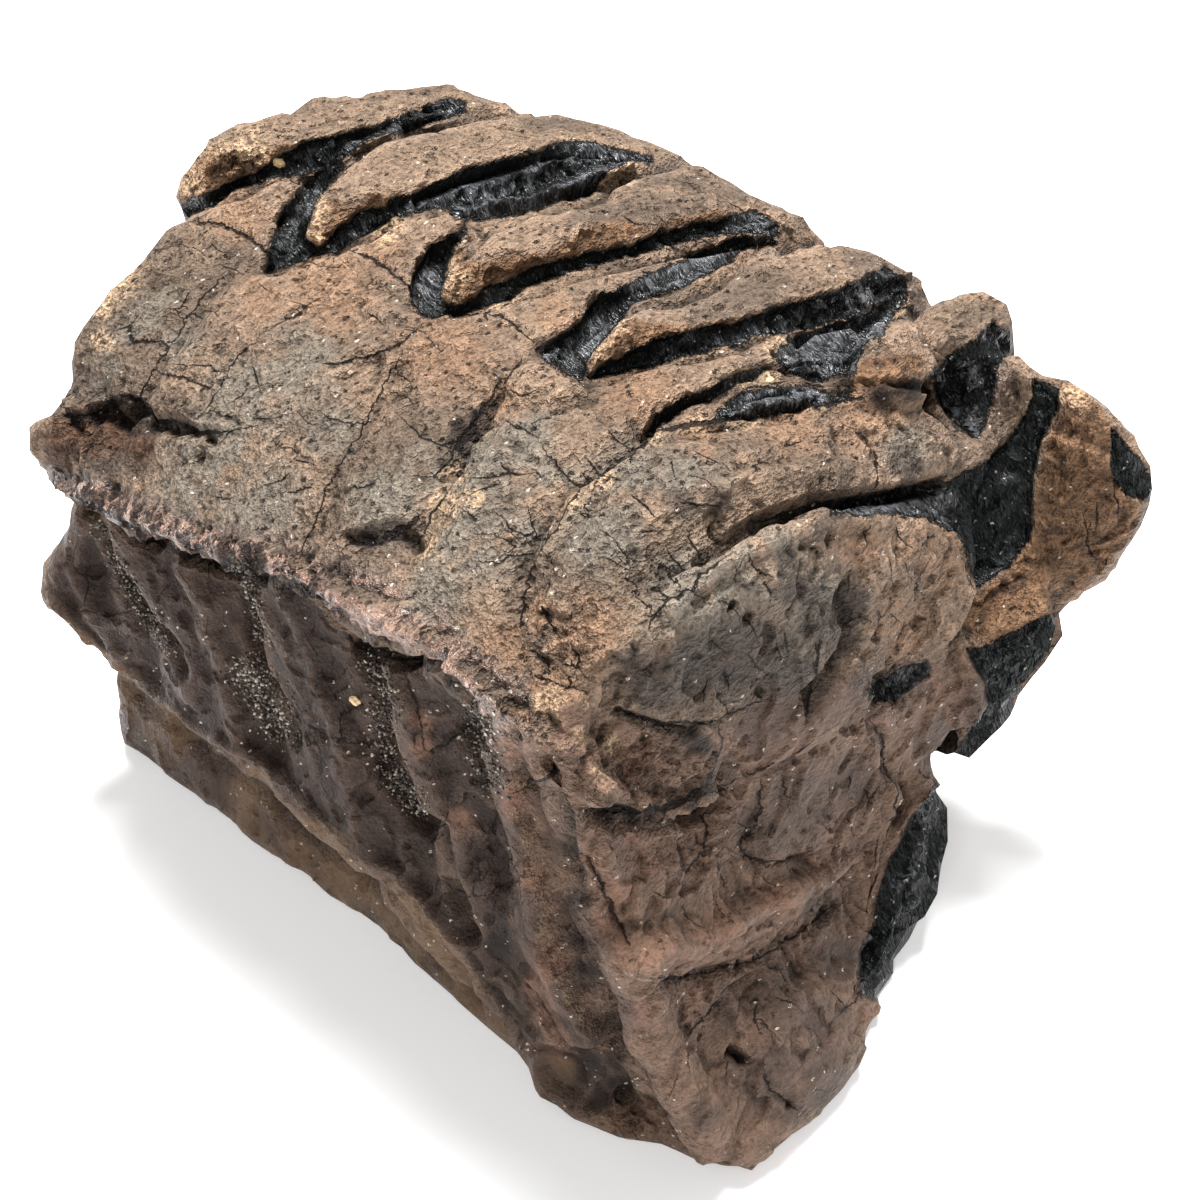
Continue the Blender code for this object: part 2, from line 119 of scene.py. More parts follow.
# Black enamel shows in the furrows between the plates and on the broken front.
ENAMEL = {
    "first band": (
        (169, 220), (191, 198), (220, 188), (246, 177), (265, 166), (287, 152), (303, 144),
        (329, 137), (373, 128), (405, 115), (437, 102), (450, 97), (466, 104), (466, 112),
        (437, 121), (405, 131), (373, 137), (354, 149), (335, 163), (309, 172), (287, 177),
        (258, 182), (233, 190), (214, 203), (185, 217), (166, 227),
    ),
    "first branch": (
        (341, 160), (320, 168), (303, 188), (284, 208), (278, 220), (279, 233), (271, 246),
        (268, 271), (287, 268), (306, 259), (322, 250), (305, 240), (306, 223), (316, 201),
        (332, 182), (345, 165),
    ),
    "second band": (
        (318, 254), (338, 230), (357, 214), (386, 207), (392, 198), (421, 191), (450, 176),
        (469, 169), (517, 158), (549, 147), (574, 140), (603, 144), (628, 152), (652, 156),
        (652, 162), (628, 162), (606, 172), (597, 186), (587, 198), (552, 202), (533, 209),
        (501, 217), (456, 221), (452, 207), (427, 211), (399, 217), (380, 224), (354, 243),
        (335, 254),
    ),
    "third pocket": (
        (470, 228), (452, 234), (431, 246), (421, 259), (415, 275), (411, 291), (411, 304),
        (421, 316), (437, 319), (453, 312), (440, 302), (442, 288), (448, 262), (452, 250),
    ),
    "third band": (
        (445, 306), (464, 305), (483, 290), (521, 274), (553, 262), (579, 256), (604, 251),
        (630, 246), (655, 235), (697, 225), (735, 216), (754, 209), (779, 225), (776, 235),
        (751, 232), (719, 235), (687, 240), (655, 249), (623, 257), (579, 268), (534, 284),
        (505, 299), (473, 311), (450, 318),
    ),
    "fourth ridge": (
        (623, 284), (642, 276), (674, 264), (703, 251), (735, 238), (770, 236), (776, 243),
        (744, 248), (735, 257), (719, 270), (693, 280), (681, 289), (655, 296), (636, 302),
        (615, 294),
    ),
    "fourth pocket": (
        (598, 293), (591, 308), (579, 324), (559, 337), (541, 350), (550, 362), (566, 375),
        (582, 380), (588, 372), (582, 362), (595, 350), (607, 334), (623, 315), (636, 302),
        (630, 292), (617, 290),
    ),
    "fifth band": (
        (588, 376), (611, 362), (630, 350), (649, 343), (674, 337), (706, 327), (738, 324),
        (767, 311), (799, 302), (834, 292), (866, 279), (885, 268), (908, 282), (905, 298),
        (878, 303), (846, 318), (815, 327), (783, 333), (760, 337), (735, 346), (700, 353),
        (671, 361), (623, 372), (604, 377),
    ),
    "fifth ridge end": (
        (772, 352), (800, 338), (846, 320), (880, 305), (905, 297), (885, 330), (862, 350),
        (852, 374), (815, 380), (792, 374), (780, 364),
    ),
    "sixth notch": (
        (650, 432), (654, 416), (671, 405), (700, 394), (721, 382), (743, 373), (771, 369),
        (755, 379), (732, 388), (707, 401), (682, 409), (666, 425),
    ),
    "sixth band": (
        (716, 420), (718, 409), (732, 398), (761, 389), (786, 384), (814, 387), (829, 394),
        (848, 390), (852, 400), (814, 406), (786, 412), (750, 418), (725, 421),
    ),
    "black hole": (
        (930, 372), (950, 355), (975, 341), (993, 322), (1022, 342), (1004, 356), (996, 373),
        (996, 394), (986, 423), (975, 438), (957, 427), (943, 409),
    ),
    "black valley": (
        (1060, 384), (1036, 382), (1029, 409), (1011, 437), (986, 462), (957, 476), (943, 487),
        (907, 487), (850, 498), (826, 513), (864, 514), (921, 516), (957, 533), (968, 558),
        (971, 592), (993, 576), (1016, 556), (1029, 537), (1032, 494), (1039, 444), (1057, 408),
    ),
    "stub edge": (
        (1110, 426), (1124, 443), (1142, 465), (1160, 482), (1155, 503), (1128, 496), (1114, 482),
        (1110, 465), (1112, 445),
    ),
    "under the stub": (
        (966, 648), (988, 646), (1039, 617), (1051, 614), (1080, 600), (1080, 640), (1060, 670),
        (1040, 700), (1010, 730), (975, 765), (950, 775), (960, 742), (988, 705), (984, 680),
        (971, 660),
    ),
    "black patch": (
        (868, 700), (876, 682), (900, 668), (926, 662), (930, 674), (912, 690), (890, 702),
    ),
    "black ridge": (
        (945, 772), (965, 800), (960, 846), (955, 875), (938, 920), (915, 970), (888, 1000),
        (862, 999), (859, 972), (860, 950), (872, 925), (880, 890), (890, 860), (905, 828),
        (930, 790),
    ),
}
# On the far side, out of the picture, it lines the furrows: x of each furrow's two edges.
FAR_FURROWS = ((-38.5, -33.5), (-16, -12.5), (4.5, 8), (19.5, 23))
FAR_SIDE_Y = 28
FAR_SIDE_FADES = 3


# Bare dentine shows orange on the broken faces under the plates and on the stub.
DENTINE = {
    "first face": (
        (197, 150), (215, 146), (235, 150), (262, 150), (287, 140), (303, 144), (287, 152),
        (265, 166), (246, 177), (220, 188), (191, 198), (170, 216), (183, 186),
    ),
    "second tip": (
        (322, 192), (334, 196), (340, 205), (360, 206), (385, 192), (396, 197), (357, 214),
        (338, 230), (320, 254), (306, 249), (303, 235), (308, 215),
    ),
    "third face": (
        (448, 262), (455, 246), (472, 252), (480, 262), (500, 258), (545, 250), (560, 243),
        (580, 232), (600, 221), (632, 217), (643, 225), (700, 212), (730, 207), (733, 216),
        (697, 225), (655, 235), (604, 251), (553, 262), (521, 274), (483, 290), (464, 305),
        (445, 308), (440, 300), (443, 285),
    ),
    "fourth face": (
        (628, 305), (640, 312), (650, 320), (690, 325), (705, 322), (740, 318), (800, 297),
        (862, 278), (866, 281), (834, 292), (799, 302), (767, 311), (738, 324), (706, 327),
        (674, 337), (649, 343), (611, 362), (592, 374), (584, 368), (600, 345), (615, 325),
    ),
    "lump face": (
        (850, 390), (850, 372), (862, 356), (892, 352), (925, 352), (932, 366), (905, 384),
        (880, 390),
    ),
    "thin plate": (
        (690, 418), (740, 392), (766, 376), (800, 374), (815, 383), (840, 384), (846, 391),
        (829, 394), (814, 387), (786, 384), (761, 389), (732, 398), (718, 409), (700, 420),
    ),
    "stub": (
        (1060, 380), (1090, 378), (1112, 425), (1112, 460), (1128, 496), (1150, 505), (1135, 535),
        (1100, 585), (1060, 625), (1010, 645), (985, 648), (962, 625), (970, 598), (1000, 575),
        (1020, 555), (1033, 530), (1034, 495), (1045, 440), (1058, 410),
    ),
}
# Folds, ribs and furrows: height and half width in millimetres, along points in the picture.
FOLDS = {
    "lip": (0.9, 1.3, (
        (60, 600), (90, 632), (125, 662), (175, 705), (215, 737), (260, 757), (310, 803),
        (345, 828), (385, 862), (425, 895), (455, 932), (480, 970), (505, 1010), (530, 1045),
    )),
    "under the lip": (-0.9, 2.2, (
        (130, 690), (175, 727), (215, 760), (260, 784), (305, 826), (345, 858), (400, 906),
        (440, 952), (472, 995),
    )),
    "wall groove 1": (-1.4, 2.0, ((115, 545), (135, 590), (155, 620), (172, 648), (178, 668))),
    "wall groove 2": (-1.5, 2.2, ((250, 575), (256, 600), (262, 640), (275, 680), (292, 735))),
    "wall groove 3": (-1.6, 2.2, (
        (370, 655), (388, 690), (395, 730), (388, 770), (410, 800), (440, 835), (450, 880),
        (470, 930),
    )),
    "wall groove 4": (-1.5, 2.0, ((445, 665), (465, 690), (480, 740), (492, 790))),
    "wall rib 1": (0.9, 2.4, ((85, 530), (80, 570), (95, 620), (122, 655))),
    "wall rib 2": (1.0, 2.6, ((185, 560), (205, 600), (215, 640), (228, 690), (240, 730))),
    "wall rib 3": (1.0, 2.4, (
        (290, 590), (305, 640), (325, 690), (345, 730), (352, 790), (370, 840),
    )),
    "wall rib 4": (0.8, 2.0, ((400, 690), (412, 720), (425, 760), (440, 800))),
    "corner rib": (1.0, 1.5, (
        (505, 705), (512, 750), (516, 800), (530, 860), (542, 950), (568, 1000), (598, 1036),
    )),
    "corner groove": (-3.0, 3.4, (
        (556, 778), (562, 830), (576, 890), (590, 930), (604, 965), (612, 1000), (620, 1040),
    )),
    "corner ridge": (1.3, 1.3, (
        (563, 767), (572, 805), (580, 846), (584, 890), (598, 922), (620, 946), (640, 962),
    )),
    "corner roll": (0.8, 4.5, ((636, 975), (650, 1020), (670, 1070), (700, 1120), (720, 1150))),
    "corner step": (-1.0, 1.2, ((540, 1049), (570, 1054), (615, 1052))),
    "shelf": (1.4, 2.0, ((640, 950), (690, 942), (740, 920), (780, 897), (815, 880), (845, 855))),
    "right filler": (2.2, 3.8, ((848, 938), (856, 900), (860, 862), (868, 825), (880, 792))),
    "overhang cave": (-1.2, 1.3, (
        (70, 420), (88, 432), (104, 412), (128, 424), (140, 408), (158, 428),
    )),
    "cave, right": (-0.9, 1.0, ((158, 420), (178, 436), (196, 430), (212, 442))),
    "under the shelf": (-0.7, 1.3, ((650, 982), (700, 972), (745, 962), (790, 940), (832, 907))),
    "roll groove": (-1.5, 1.1, (
        (700, 562), (725, 542), (765, 522), (800, 509), (850, 497), (905, 490), (945, 482),
    )),
    "roll lip": (1.1, 1.6, (
        (667, 606), (705, 575), (740, 554), (780, 537), (820, 524), (880, 516),
    )),
    "ninth crest": (1.2, 1.6, (
        (540, 560), (551, 540), (570, 514), (588, 492), (616, 474), (645, 454), (690, 425),
        (760, 408), (850, 398), (905, 400),
    )),
    "valley 1": (-0.7, 3.0, ((228, 275), (196, 307), (173, 342), (158, 363), (143, 390))),
    "valley 2": (-0.8, 3.2, ((400, 358), (374, 406), (344, 457), (322, 505), (305, 545))),
    "valley 3": (-0.9, 3.5, ((518, 364), (486, 406), (455, 455), (432, 500), (410, 545))),
    "valley 4": (-0.9, 3.0, ((652, 432), (606, 466), (562, 502), (535, 550), (520, 600))),
    "roll valley": (-1.8, 2.8, ((850, 592), (856, 620), (842, 655), (815, 690))),
    "rim": (0.9, 1.3, (
        (45, 470), (100, 494), (150, 517), (200, 537), (255, 548), (300, 568), (345, 592),
        (385, 612), (430, 640), (470, 668), (500, 700), (530, 728), (565, 748),
    )),
    "fissure step": (-0.7, 1.1, (
        (500, 388), (486, 403), (483, 420), (465, 431), (462, 450), (444, 470),
    )),
    "under the rim": (-2.8, 1.6, (
        (62, 497), (105, 512), (150, 538), (200, 557), (255, 574), (300, 585), (335, 606),
    )),
    "rim hole": (-3.0, 1.3, ((365, 648), (385, 655), (405, 660), (430, 662))),
    "lower rim": (0.8, 1.0, (
        (330, 612), (360, 630), (400, 640), (440, 655), (475, 682), (505, 708),
    )),
    "overhang": (0.8, 1.2, (
        (62, 400), (74, 415), (106, 402), (135, 393), (155, 412), (183, 418), (205, 428),
        (228, 430),
    )),
    "hood slot": (-0.8, 0.7, ((617, 713), (648, 720), (678, 724))),
    "hood edge": (1.3, 2.0, (
        (560, 745), (575, 775), (600, 797), (640, 803), (680, 800), (700, 788),
    )),
    "under the hood": (-2.6, 2.0, ((598, 812), (640, 818), (690, 812), (708, 795))),
    "front right edge": (0.5, 1.2, (
        (955, 642), (972, 680), (980, 700), (962, 740), (935, 785), (905, 820), (890, 850),
    )),
    "front scarp": (-0.7, 1.4, ((871, 723), (883, 740), (882, 766), (898, 789), (895, 816))),
    "front pit": (-2.6, 0.9, ((732, 1052), (742, 1060))),
    "shiny pit": (-1.6, 0.7, ((203, 452), (198, 462))),
    "second furrow": (-1.2, 1.0, (
        (420, 196), (450, 182), (475, 174), (520, 163), (560, 151), (600, 147),
    )),
    "second ridge": (2.0, 1.2, (
        (462, 214), (500, 206), (540, 196), (575, 184), (600, 174), (625, 165),
    )),
    "first ridge": (1.2, 0.9, ((350, 150), (380, 136), (410, 122), (440, 112))),
    "notch": (-1.4, 1.2, ((349, 540), (368, 536), (392, 526), (412, 540))),
}

# Sunken and raised patches: height and edge in millimetres, and an outline in the picture.
PATCHES = {
    "foot hollow": (-1.8, 1.2, (
        (540, 1054), (612, 1054), (632, 1085), (645, 1115), (640, 1138), (600, 1130), (560, 1105),
        (542, 1080),
    )),
    "block": (1.3, 0.4, (
        (858, 334), (880, 323), (905, 331), (930, 352), (932, 368), (905, 386), (850, 390),
        (850, 370),
    )),
    "small lump": (1.0, 1.2, (
        (505, 372), (525, 358), (555, 358), (570, 375), (585, 395), (555, 405), (520, 402),
        (503, 388),
    )),
    "flake": (0.7, 0.5, (
        (762, 770), (835, 728), (870, 740), (850, 800), (810, 850), (765, 862), (742, 842),
        (757, 812),
    )),
    "left slab": (0.5, 0.5, (
        (600, 816), (690, 820), (703, 860), (680, 880), (640, 930), (600, 870),
    )),
    "lower hollow": (-0.7, 1.0, (
        (725, 985), (760, 965), (810, 930), (820, 960), (790, 1005), (750, 1020),
    )),
    "glossy lump": (0.8, 0.8, (
        (335, 588), (420, 603), (445, 640), (420, 642), (380, 626), (345, 610),
    )),
    "scar": (-0.6, 0.6, ((333, 374), (362, 352), (386, 352), (376, 380), (350, 394))),
}

# Cracks: how wide each gapes, and its points in the picture.
CRACKS = {
    "overhang": (1.6, (
        (62, 403), (75, 420), (90, 416), (107, 407), (135, 397), (145, 400), (158, 420),
        (183, 423), (202, 432), (228, 432),
    )),
    "under the rim": (2.0, (
        (66, 492), (105, 512), (150, 538), (200, 557), (255, 574), (300, 585), (335, 608),
    )),
    "under the lower rim": (2.6, ((352, 640), (370, 650), (400, 659), (432, 661))),
    "roll groove": (2.4, ((765, 521), (800, 509), (850, 498), (905, 491), (945, 482))),
    "fissure": (0.6, (
        (518, 364), (507, 379), (498, 384), (490, 401), (480, 411), (471, 431), (459, 440),
        (455, 452), (449, 462), (438, 473),
    )),
    "fissure, open": (2.0, (
        (492, 399), (482, 412), (474, 420), (470, 433), (460, 441), (453, 458),
    )),
    "scar": (1.6, ((347, 546), (356, 541), (368, 545), (384, 538), (400, 530), (412, 524))),
    "seventh slit": (1.6, ((655, 432), (662, 418), (680, 407), (705, 398))),
    "eighth groove": (1.6, (
        (652, 434), (690, 424), (730, 419), (770, 414), (815, 406), (850, 400),
    )),
    "hood foot": (2.2, ((600, 806), (640, 812), (672, 806), (700, 794), (712, 772))),
    "back 1": (0.8, (
        (114, 331), (132, 324), (129, 336), (135, 344), (148, 341), (169, 347), (161, 353),
    )),
    "back 2": (0.4, ((170, 345), (158, 363), (143, 390))),
    "back 3": (0.7, ((156, 369), (167, 377), (186, 377), (204, 386))),
    "back 4": (0.4, ((228, 275), (209, 291), (196, 307), (183, 326), (173, 342))),
    "back 5": (0.5, ((250, 345), (237, 358), (228, 371), (215, 370), (204, 366))),
    "back 6": (0.4, ((228, 371), (218, 390), (204, 412))),
    "lump 1": (0.5, ((317, 300), (298, 313), (279, 324), (266, 332))),
    "lump 2": (0.9, ((190, 222), (210, 223), (228, 227), (250, 240), (268, 253))),
    "lump 3": (0.9, ((355, 252), (372, 259), (385, 268), (400, 279), (412, 292))),
    "lump 4": (0.9, ((460, 316), (480, 314), (500, 315), (513, 324), (525, 335))),
    "lump 5": (0.7, ((422, 324), (406, 340), (390, 348), (374, 355), (355, 360), (336, 364))),
    "long": (0.45, (
        (400, 358), (387, 380), (374, 406), (363, 425), (358, 438), (344, 457), (338, 466),
        (330, 482), (322, 505), (312, 530), (303, 548),
    )),
    "long branch": (0.35, ((319, 411), (330, 419), (349, 424), (363, 423))),
    "by the fissure": (0.5, ((406, 422), (419, 433), (432, 444), (451, 449))),
    "below the fissure": (0.6, ((448, 492), (432, 514), (421, 537))),
    "arc 1": (0.5, ((282, 493), (295, 494), (304, 489))),
    "arc 2": (0.5, ((350, 489), (360, 491), (368, 486))),
    "grey 1": (0.5, ((467, 478), (486, 479), (508, 474))),
    "grey 2": (0.6, ((502, 517), (512, 530), (531, 537), (546, 539))),
    "grey 3": (0.4, ((481, 562), (499, 562), (510, 558), (533, 554))),
    "grey 4": (0.5, ((545, 451), (556, 462), (567, 481), (581, 487))),
    "main": (0.65, (
        (652, 432), (636, 451), (610, 470), (583, 487), (566, 508), (560, 524), (545, 543),
        (533, 566), (527, 593), (522, 615),
    )),
    "ninth plate": (0.8, ((851, 428), (866, 440), (877, 459), (877, 483))),
    "tenth plate slit": (1.0, ((820, 638), (816, 669), (809, 696), (807, 711))),
    "tenth plate line": (0.6, ((724, 558), (705, 573), (686, 589), (667, 604), (655, 616))),
    "hood 1": (0.6, ((617, 711), (648, 719), (675, 723), (713, 722), (724, 715), (763, 700))),
    "hood 2": (0.6, ((718, 722), (722, 746), (712, 770), (700, 790), (672, 800))),
    "wall 1": (0.5, ((66, 607), (103, 616), (126, 612))),
    "wall 2": (0.5, ((78, 540), (72, 565), (88, 580), (85, 600))),
    "wall 3": (0.5, ((310, 642), (322, 669), (331, 690))),
    "wall 4": (0.7, ((305, 722), (332, 735), (342, 740), (340, 712), (358, 705))),
    "wall 5": (0.5, ((340, 742), (372, 742))),
    "wall 6": (0.6, ((314, 738), (322, 758), (322, 788), (338, 805))),
    "wall 7": (0.7, ((402, 666), (410, 690), (419, 711), (424, 748))),
    "wall 8": (0.5, ((422, 700), (439, 702))),
    "wall 9": (0.7, ((425, 752), (444, 746), (469, 726))),
    "wall 10": (0.7, ((498, 799), (494, 831), (504, 846), (519, 875), (521, 899), (524, 930))),
    "wall 11": (0.7, ((442, 880), (460, 892), (472, 896), (487, 895), (519, 879))),
    "wall 12": (0.5, ((448, 804), (445, 825), (434, 838))),
    "wall 13": (0.5, ((480, 862), (478, 880), (473, 893))),
    "wall 14": (0.5, ((474, 818), (491, 834))),
    "rib crack": (0.9, ((520, 790), (536, 781), (557, 769))),
    "rib foot crack": (0.8, ((522, 978), (539, 996), (560, 1034))),
    "ridge crack": (1.0, ((589, 857), (601, 884), (613, 910), (625, 937))),
    "front flake": (0.9, (
        (761, 782), (759, 812), (752, 832), (741, 840), (746, 855), (766, 862), (792, 857),
        (807, 852),
    )),
    "front band": (0.5, ((704, 796), (735, 780), (762, 769), (785, 759), (835, 726))),
    "front 1": (0.5, ((782, 769), (789, 809))),
    "front notch": (0.9, ((699, 806), (706, 826), (703, 852), (688, 869))),
    "front 2": (0.5, ((722, 849), (717, 865), (722, 879))),
    "front low": (0.6, ((643, 978), (693, 975), (729, 965), (759, 958), (792, 938), (832, 905))),
    "front low 2": (0.7, ((746, 975), (726, 988), (709, 1011), (693, 1028))),
    "front low 3": (0.8, ((764, 1068), (769, 1088), (789, 1104))),
    "front low 4": (0.5, ((835, 1018), (852, 1001), (878, 975))),
    "front right": (0.9, ((872, 723), (883, 740), (882, 766), (898, 789), (895, 816))),
}

# Patches of short slits: how many, x, y and radius in the picture, and which way they run.
SLITS = (
    (14, 740, 630, 65, 105), (10, 640, 570, 50, 130), (7, 620, 500, 45, 140),
    (5, 700, 470, 45, 160), (12, 880, 580, 60, 95), (5, 800, 440, 50, 10), (8, 420, 350, 55, 160),
    (5, 320, 290, 45, 175), (6, 200, 270, 45, 160), (6, 190, 330, 40, 0), (6, 290, 470, 60, 170),
    (5, 230, 430, 50, 20), (6, 480, 510, 55, 10), (5, 540, 430, 40, 150), (8, 560, 660, 45, 120),
    (10, 180, 600, 50, 80), (9, 300, 680, 50, 80), (9, 400, 760, 45, 70), (10, 460, 880, 50, 70),
    (8, 850, 800, 45, 80), (7, 740, 900, 60, 150), (6, 800, 1000, 60, 120), (5, 700, 1060, 40, 90),
    (6, 360, 170, 60, 170), (6, 560, 130, 60, 165), (6, 650, 200, 60, 165), (5, 700, 280, 50, 160),
    (6, 1080, 520, 50, 90),
)
# Each slit's length in picture points, its gape, how far it strays from its way in degrees, how
# much it bends, and the longest that counts, in millimetres. Then its four points, in thirds of
# its length from the middle, and how much of its gape each has.
SLIT_LENGTH = (5, 18)
SLIT_GAPE = (0.2, 0.6)
SLIT_STRAYS = 25
SLIT_BENDS = 0.35
LONGEST_SLIT = 4
SLIT_THIRDS = (-1.5, -0.5, 0.5, 1.5)
SLIT_SHARES = (0.4, 1, 1, 0.4)
# How crooked a crack is and how far to either side it is felt, in millimetres, how fast it opens
# from its ends, and how open it is there.
CRACKS_CROOKED = 0.13
CRACK_REACH = 1.6
CRACK_OPENS = 8
CRACK_TIP = 0.3


# Where each tone of the cement lies, painted shade and shadow among them: round spots, given as
# x, y and radius in the picture.
TONES = {
    "grey": (
        (300, 365, 45), (250, 400, 50), (215, 450, 55), (180, 500, 35), (260, 500, 50),
        (330, 430, 30), (420, 470, 30), (385, 505, 40), (480, 470, 40), (525, 440, 35),
        (470, 540, 50), (435, 590, 35), (520, 520, 35), (560, 470, 30), (625, 482, 40),
        (600, 540, 45), (690, 480, 40), (700, 590, 55), (660, 665, 45), (760, 560, 50),
        (825, 605, 45), (795, 665, 40), (700, 745, 25), (905, 450, 28), (725, 650, 45),
        (160, 330, 40), (125, 350, 30), (110, 390, 25),
    ),
    "warm": (
        (330, 290, 50), (385, 250, 25), (445, 350, 50), (500, 400, 22), (555, 310, 22),
        (870, 415, 40), (790, 425, 35), (700, 440, 25), (935, 560, 40), (905, 625, 40),
        (860, 550, 30), (740, 565, 18), (590, 640, 45), (555, 690, 35), (560, 760, 22),
        (590, 785, 24), (535, 710, 22), (505, 650, 30), (540, 615, 20), (577, 655, 18),
        (655, 655, 16), (640, 768, 16), (240, 215, 30), (640, 385, 40), (260, 300, 25),
    ),
    # Pale spots: a paler tone on the cement; on the enamel they mark where it is painted grey as
    # lit.
    "pale": (
        (500, 190, 18), (540, 180, 20), (584, 176, 24), (618, 170, 22), (380, 226, 22),
        (500, 298, 16), (860, 305, 18), (895, 300, 14), (775, 345, 16), (740, 378, 12),
        (935, 385, 12), (975, 375, 12), (870, 505, 16), (940, 500, 18), (602, 772, 9),
        (614, 742, 9), (582, 735, 9), (118, 275, 24), (138, 235, 18), (105, 305, 14),
        (100, 340, 12), (455, 472, 14), (443, 505, 18), (470, 500, 12), (428, 548, 12),
        (250, 148, 22), (225, 158, 18), (770, 378, 9), (322, 212, 14), (318, 235, 12),
        (453, 275, 16), (450, 295, 12), (600, 350, 14), (618, 325, 12), (1075, 395, 16),
        (655, 440, 12), (548, 700, 14), (700, 424, 12), (745, 420, 12), (605, 483, 10),
        (575, 500, 10), (190, 185, 18),
    ),
    "pink": (
        (508, 745, 20), (660, 952, 26), (720, 925, 26), (780, 900, 22), (822, 862, 22),
        (512, 800, 18), (420, 722, 12), (420, 748, 12), (540, 985, 16), (545, 1015, 16),
        (556, 1040, 14), (460, 820, 14), (530, 880, 16), (550, 960, 22), (590, 860, 12),
        (600, 925, 16), (614, 905, 14), (622, 942, 14), (650, 855, 26), (635, 765, 24),
        (700, 1000, 18), (625, 890, 18), (640, 1010, 16), (620, 960, 14),
    ),
    # Dusky spots: partly a darker tone, and partly painted shade where a face turns away from the
    # light or lies under a ledge.
    "dusky_and_shade": (
        (700, 665, 40), (650, 680, 40), (750, 655, 50), (800, 690, 45), (760, 720, 35),
        (980, 700, 25), (940, 740, 25), (850, 600, 22), (845, 640, 18), (720, 770, 20),
        (620, 1010, 22), (600, 950, 18), (580, 1090, 35), (870, 690, 30), (760, 830, 35),
        (905, 465, 18), (800, 592, 20), (818, 620, 20), (790, 562, 14), (680, 502, 16),
        (718, 498, 16), (800, 800, 40), (850, 780, 30), (825, 905, 22), (815, 1020, 28),
        (790, 1105, 26), (618, 1080, 26), (100, 462, 18), (135, 462, 16), (560, 850, 18),
        (580, 900, 18), (590, 980, 22), (570, 940, 15), (725, 1010, 25), (780, 1000, 40),
        (840, 960, 30), (760, 1080, 35), (478, 420, 15), (462, 441, 15), (447, 463, 12),
        (110, 415, 20), (140, 428, 22), (125, 455, 16), (372, 541, 13), (396, 532, 12),
        (455, 690, 12), (690, 738, 20), (850, 605, 18), (580, 930, 20), (500, 940, 16),
        (605, 1030, 20), (590, 1080, 32), (820, 1060, 30), (825, 1100, 22), (705, 1115, 20),
        (780, 1060, 22), (375, 825, 16), (883, 388, 20), (918, 386, 16), (700, 398, 12),
        (730, 386, 10), (740, 1060, 20), (150, 690, 14), (290, 600, 14),
    ),
    # Dark spots are painted shadow: in the caves under the overhang, in the fissure and the
    # notches, under the lump and the hood, and low on the front.
    "painted_shadow": (
        (50, 400, 11), (76, 417, 8), (95, 420, 9), (112, 408, 8), (138, 408, 9), (152, 424, 9),
        (128, 428, 8), (182, 430, 7), (489, 403, 8), (478, 415, 9), (472, 431, 8), (459, 441, 9),
        (455, 457, 6), (370, 541, 9), (395, 533, 8), (545, 347, 15), (562, 335, 10),
        (845, 386, 13), (880, 393, 14), (915, 386, 12), (592, 1066, 18), (618, 1058, 14),
        (585, 940, 20), (500, 945, 14), (620, 1085, 16), (600, 1100, 14), (590, 968, 14),
        (576, 905, 14), (462, 425, 9), (735, 1055, 8), (612, 810, 12), (635, 816, 12),
        (660, 817, 12), (690, 808, 12), (706, 790, 10), (700, 745, 12), (170, 560, 9),
        (262, 578, 10), (300, 590, 9), (232, 566, 9), (120, 522, 8), (690, 735, 9), (455, 684, 8),
        (905, 388, 9),
    ),
    "crumbly": (
        (560, 760, 26), (590, 785, 26), (640, 782, 38), (600, 742, 24), (540, 722, 22),
        (690, 770, 26), (660, 750, 25), (430, 640, 22), (470, 670, 22), (505, 705, 25),
        (200, 543, 22), (250, 560, 22), (300, 578, 22), (350, 598, 16), (150, 520, 18),
        (100, 500, 18), (130, 405, 30), (180, 425, 26), (90, 440, 30), (890, 690, 26),
        (240, 165, 25), (130, 250, 25), (560, 640, 45),
    ),
    "fibrous": ((60, 440, 28), (85, 435, 28), (115, 430, 26), (60, 465, 18), (140, 445, 18)),
}
# How far past its radius a spot reaches, and how steeply it fades.
SPOT_REACH = 1.35
SPOT_FADES = 1.4

# The tones that are also scattered over the sides turned away, each with its own seed, how wide
# their patches are in millimetres, and how strong they are.
HIDDEN_TONES = {"grey": 55, "warm": 56, "dusky_and_shade": 58}
HIDDEN_PATCH = 9
HIDDEN_SHARE = 0.8

# The outlines of the ribbed wall and of the broken front, in the picture.
WALL_OUTLINE = (
    (20, 470), (45, 480), (70, 493), (110, 512), (150, 534), (200, 553), (255, 570), (300, 588),
    (340, 616), (400, 658), (440, 662), (480, 690), (503, 716), (508, 760), (514, 800), (528, 860),
    (540, 940), (565, 1000), (600, 1042), (570, 1100), (480, 1100), (20, 800),
)
FRONT_OUTLINE = (
    (505, 740), (540, 745), (565, 705), (600, 715), (650, 728), (700, 735), (760, 700), (820, 690),
    (880, 685), (960, 652), (1000, 700), (975, 780), (945, 800), (940, 870), (880, 1010),
    (760, 1180), (690, 1180), (620, 1150), (560, 1120), (540, 1060), (585, 1030), (545, 950),
    (530, 860), (512, 800),
)

# Whole numbers that shuffle the corners of a noise's grid, and how its layers are weighed.
SHUFFLE = (73856093, 19349663, 83492791)
SHUFFLE_SEED = 2654435
SHUFFLE_AGAIN = 1274126177
SEED_APART = 7.31
NOISE_GAIN = 1.4
LAYER_FADES = 1.7
TINY = 1e-9


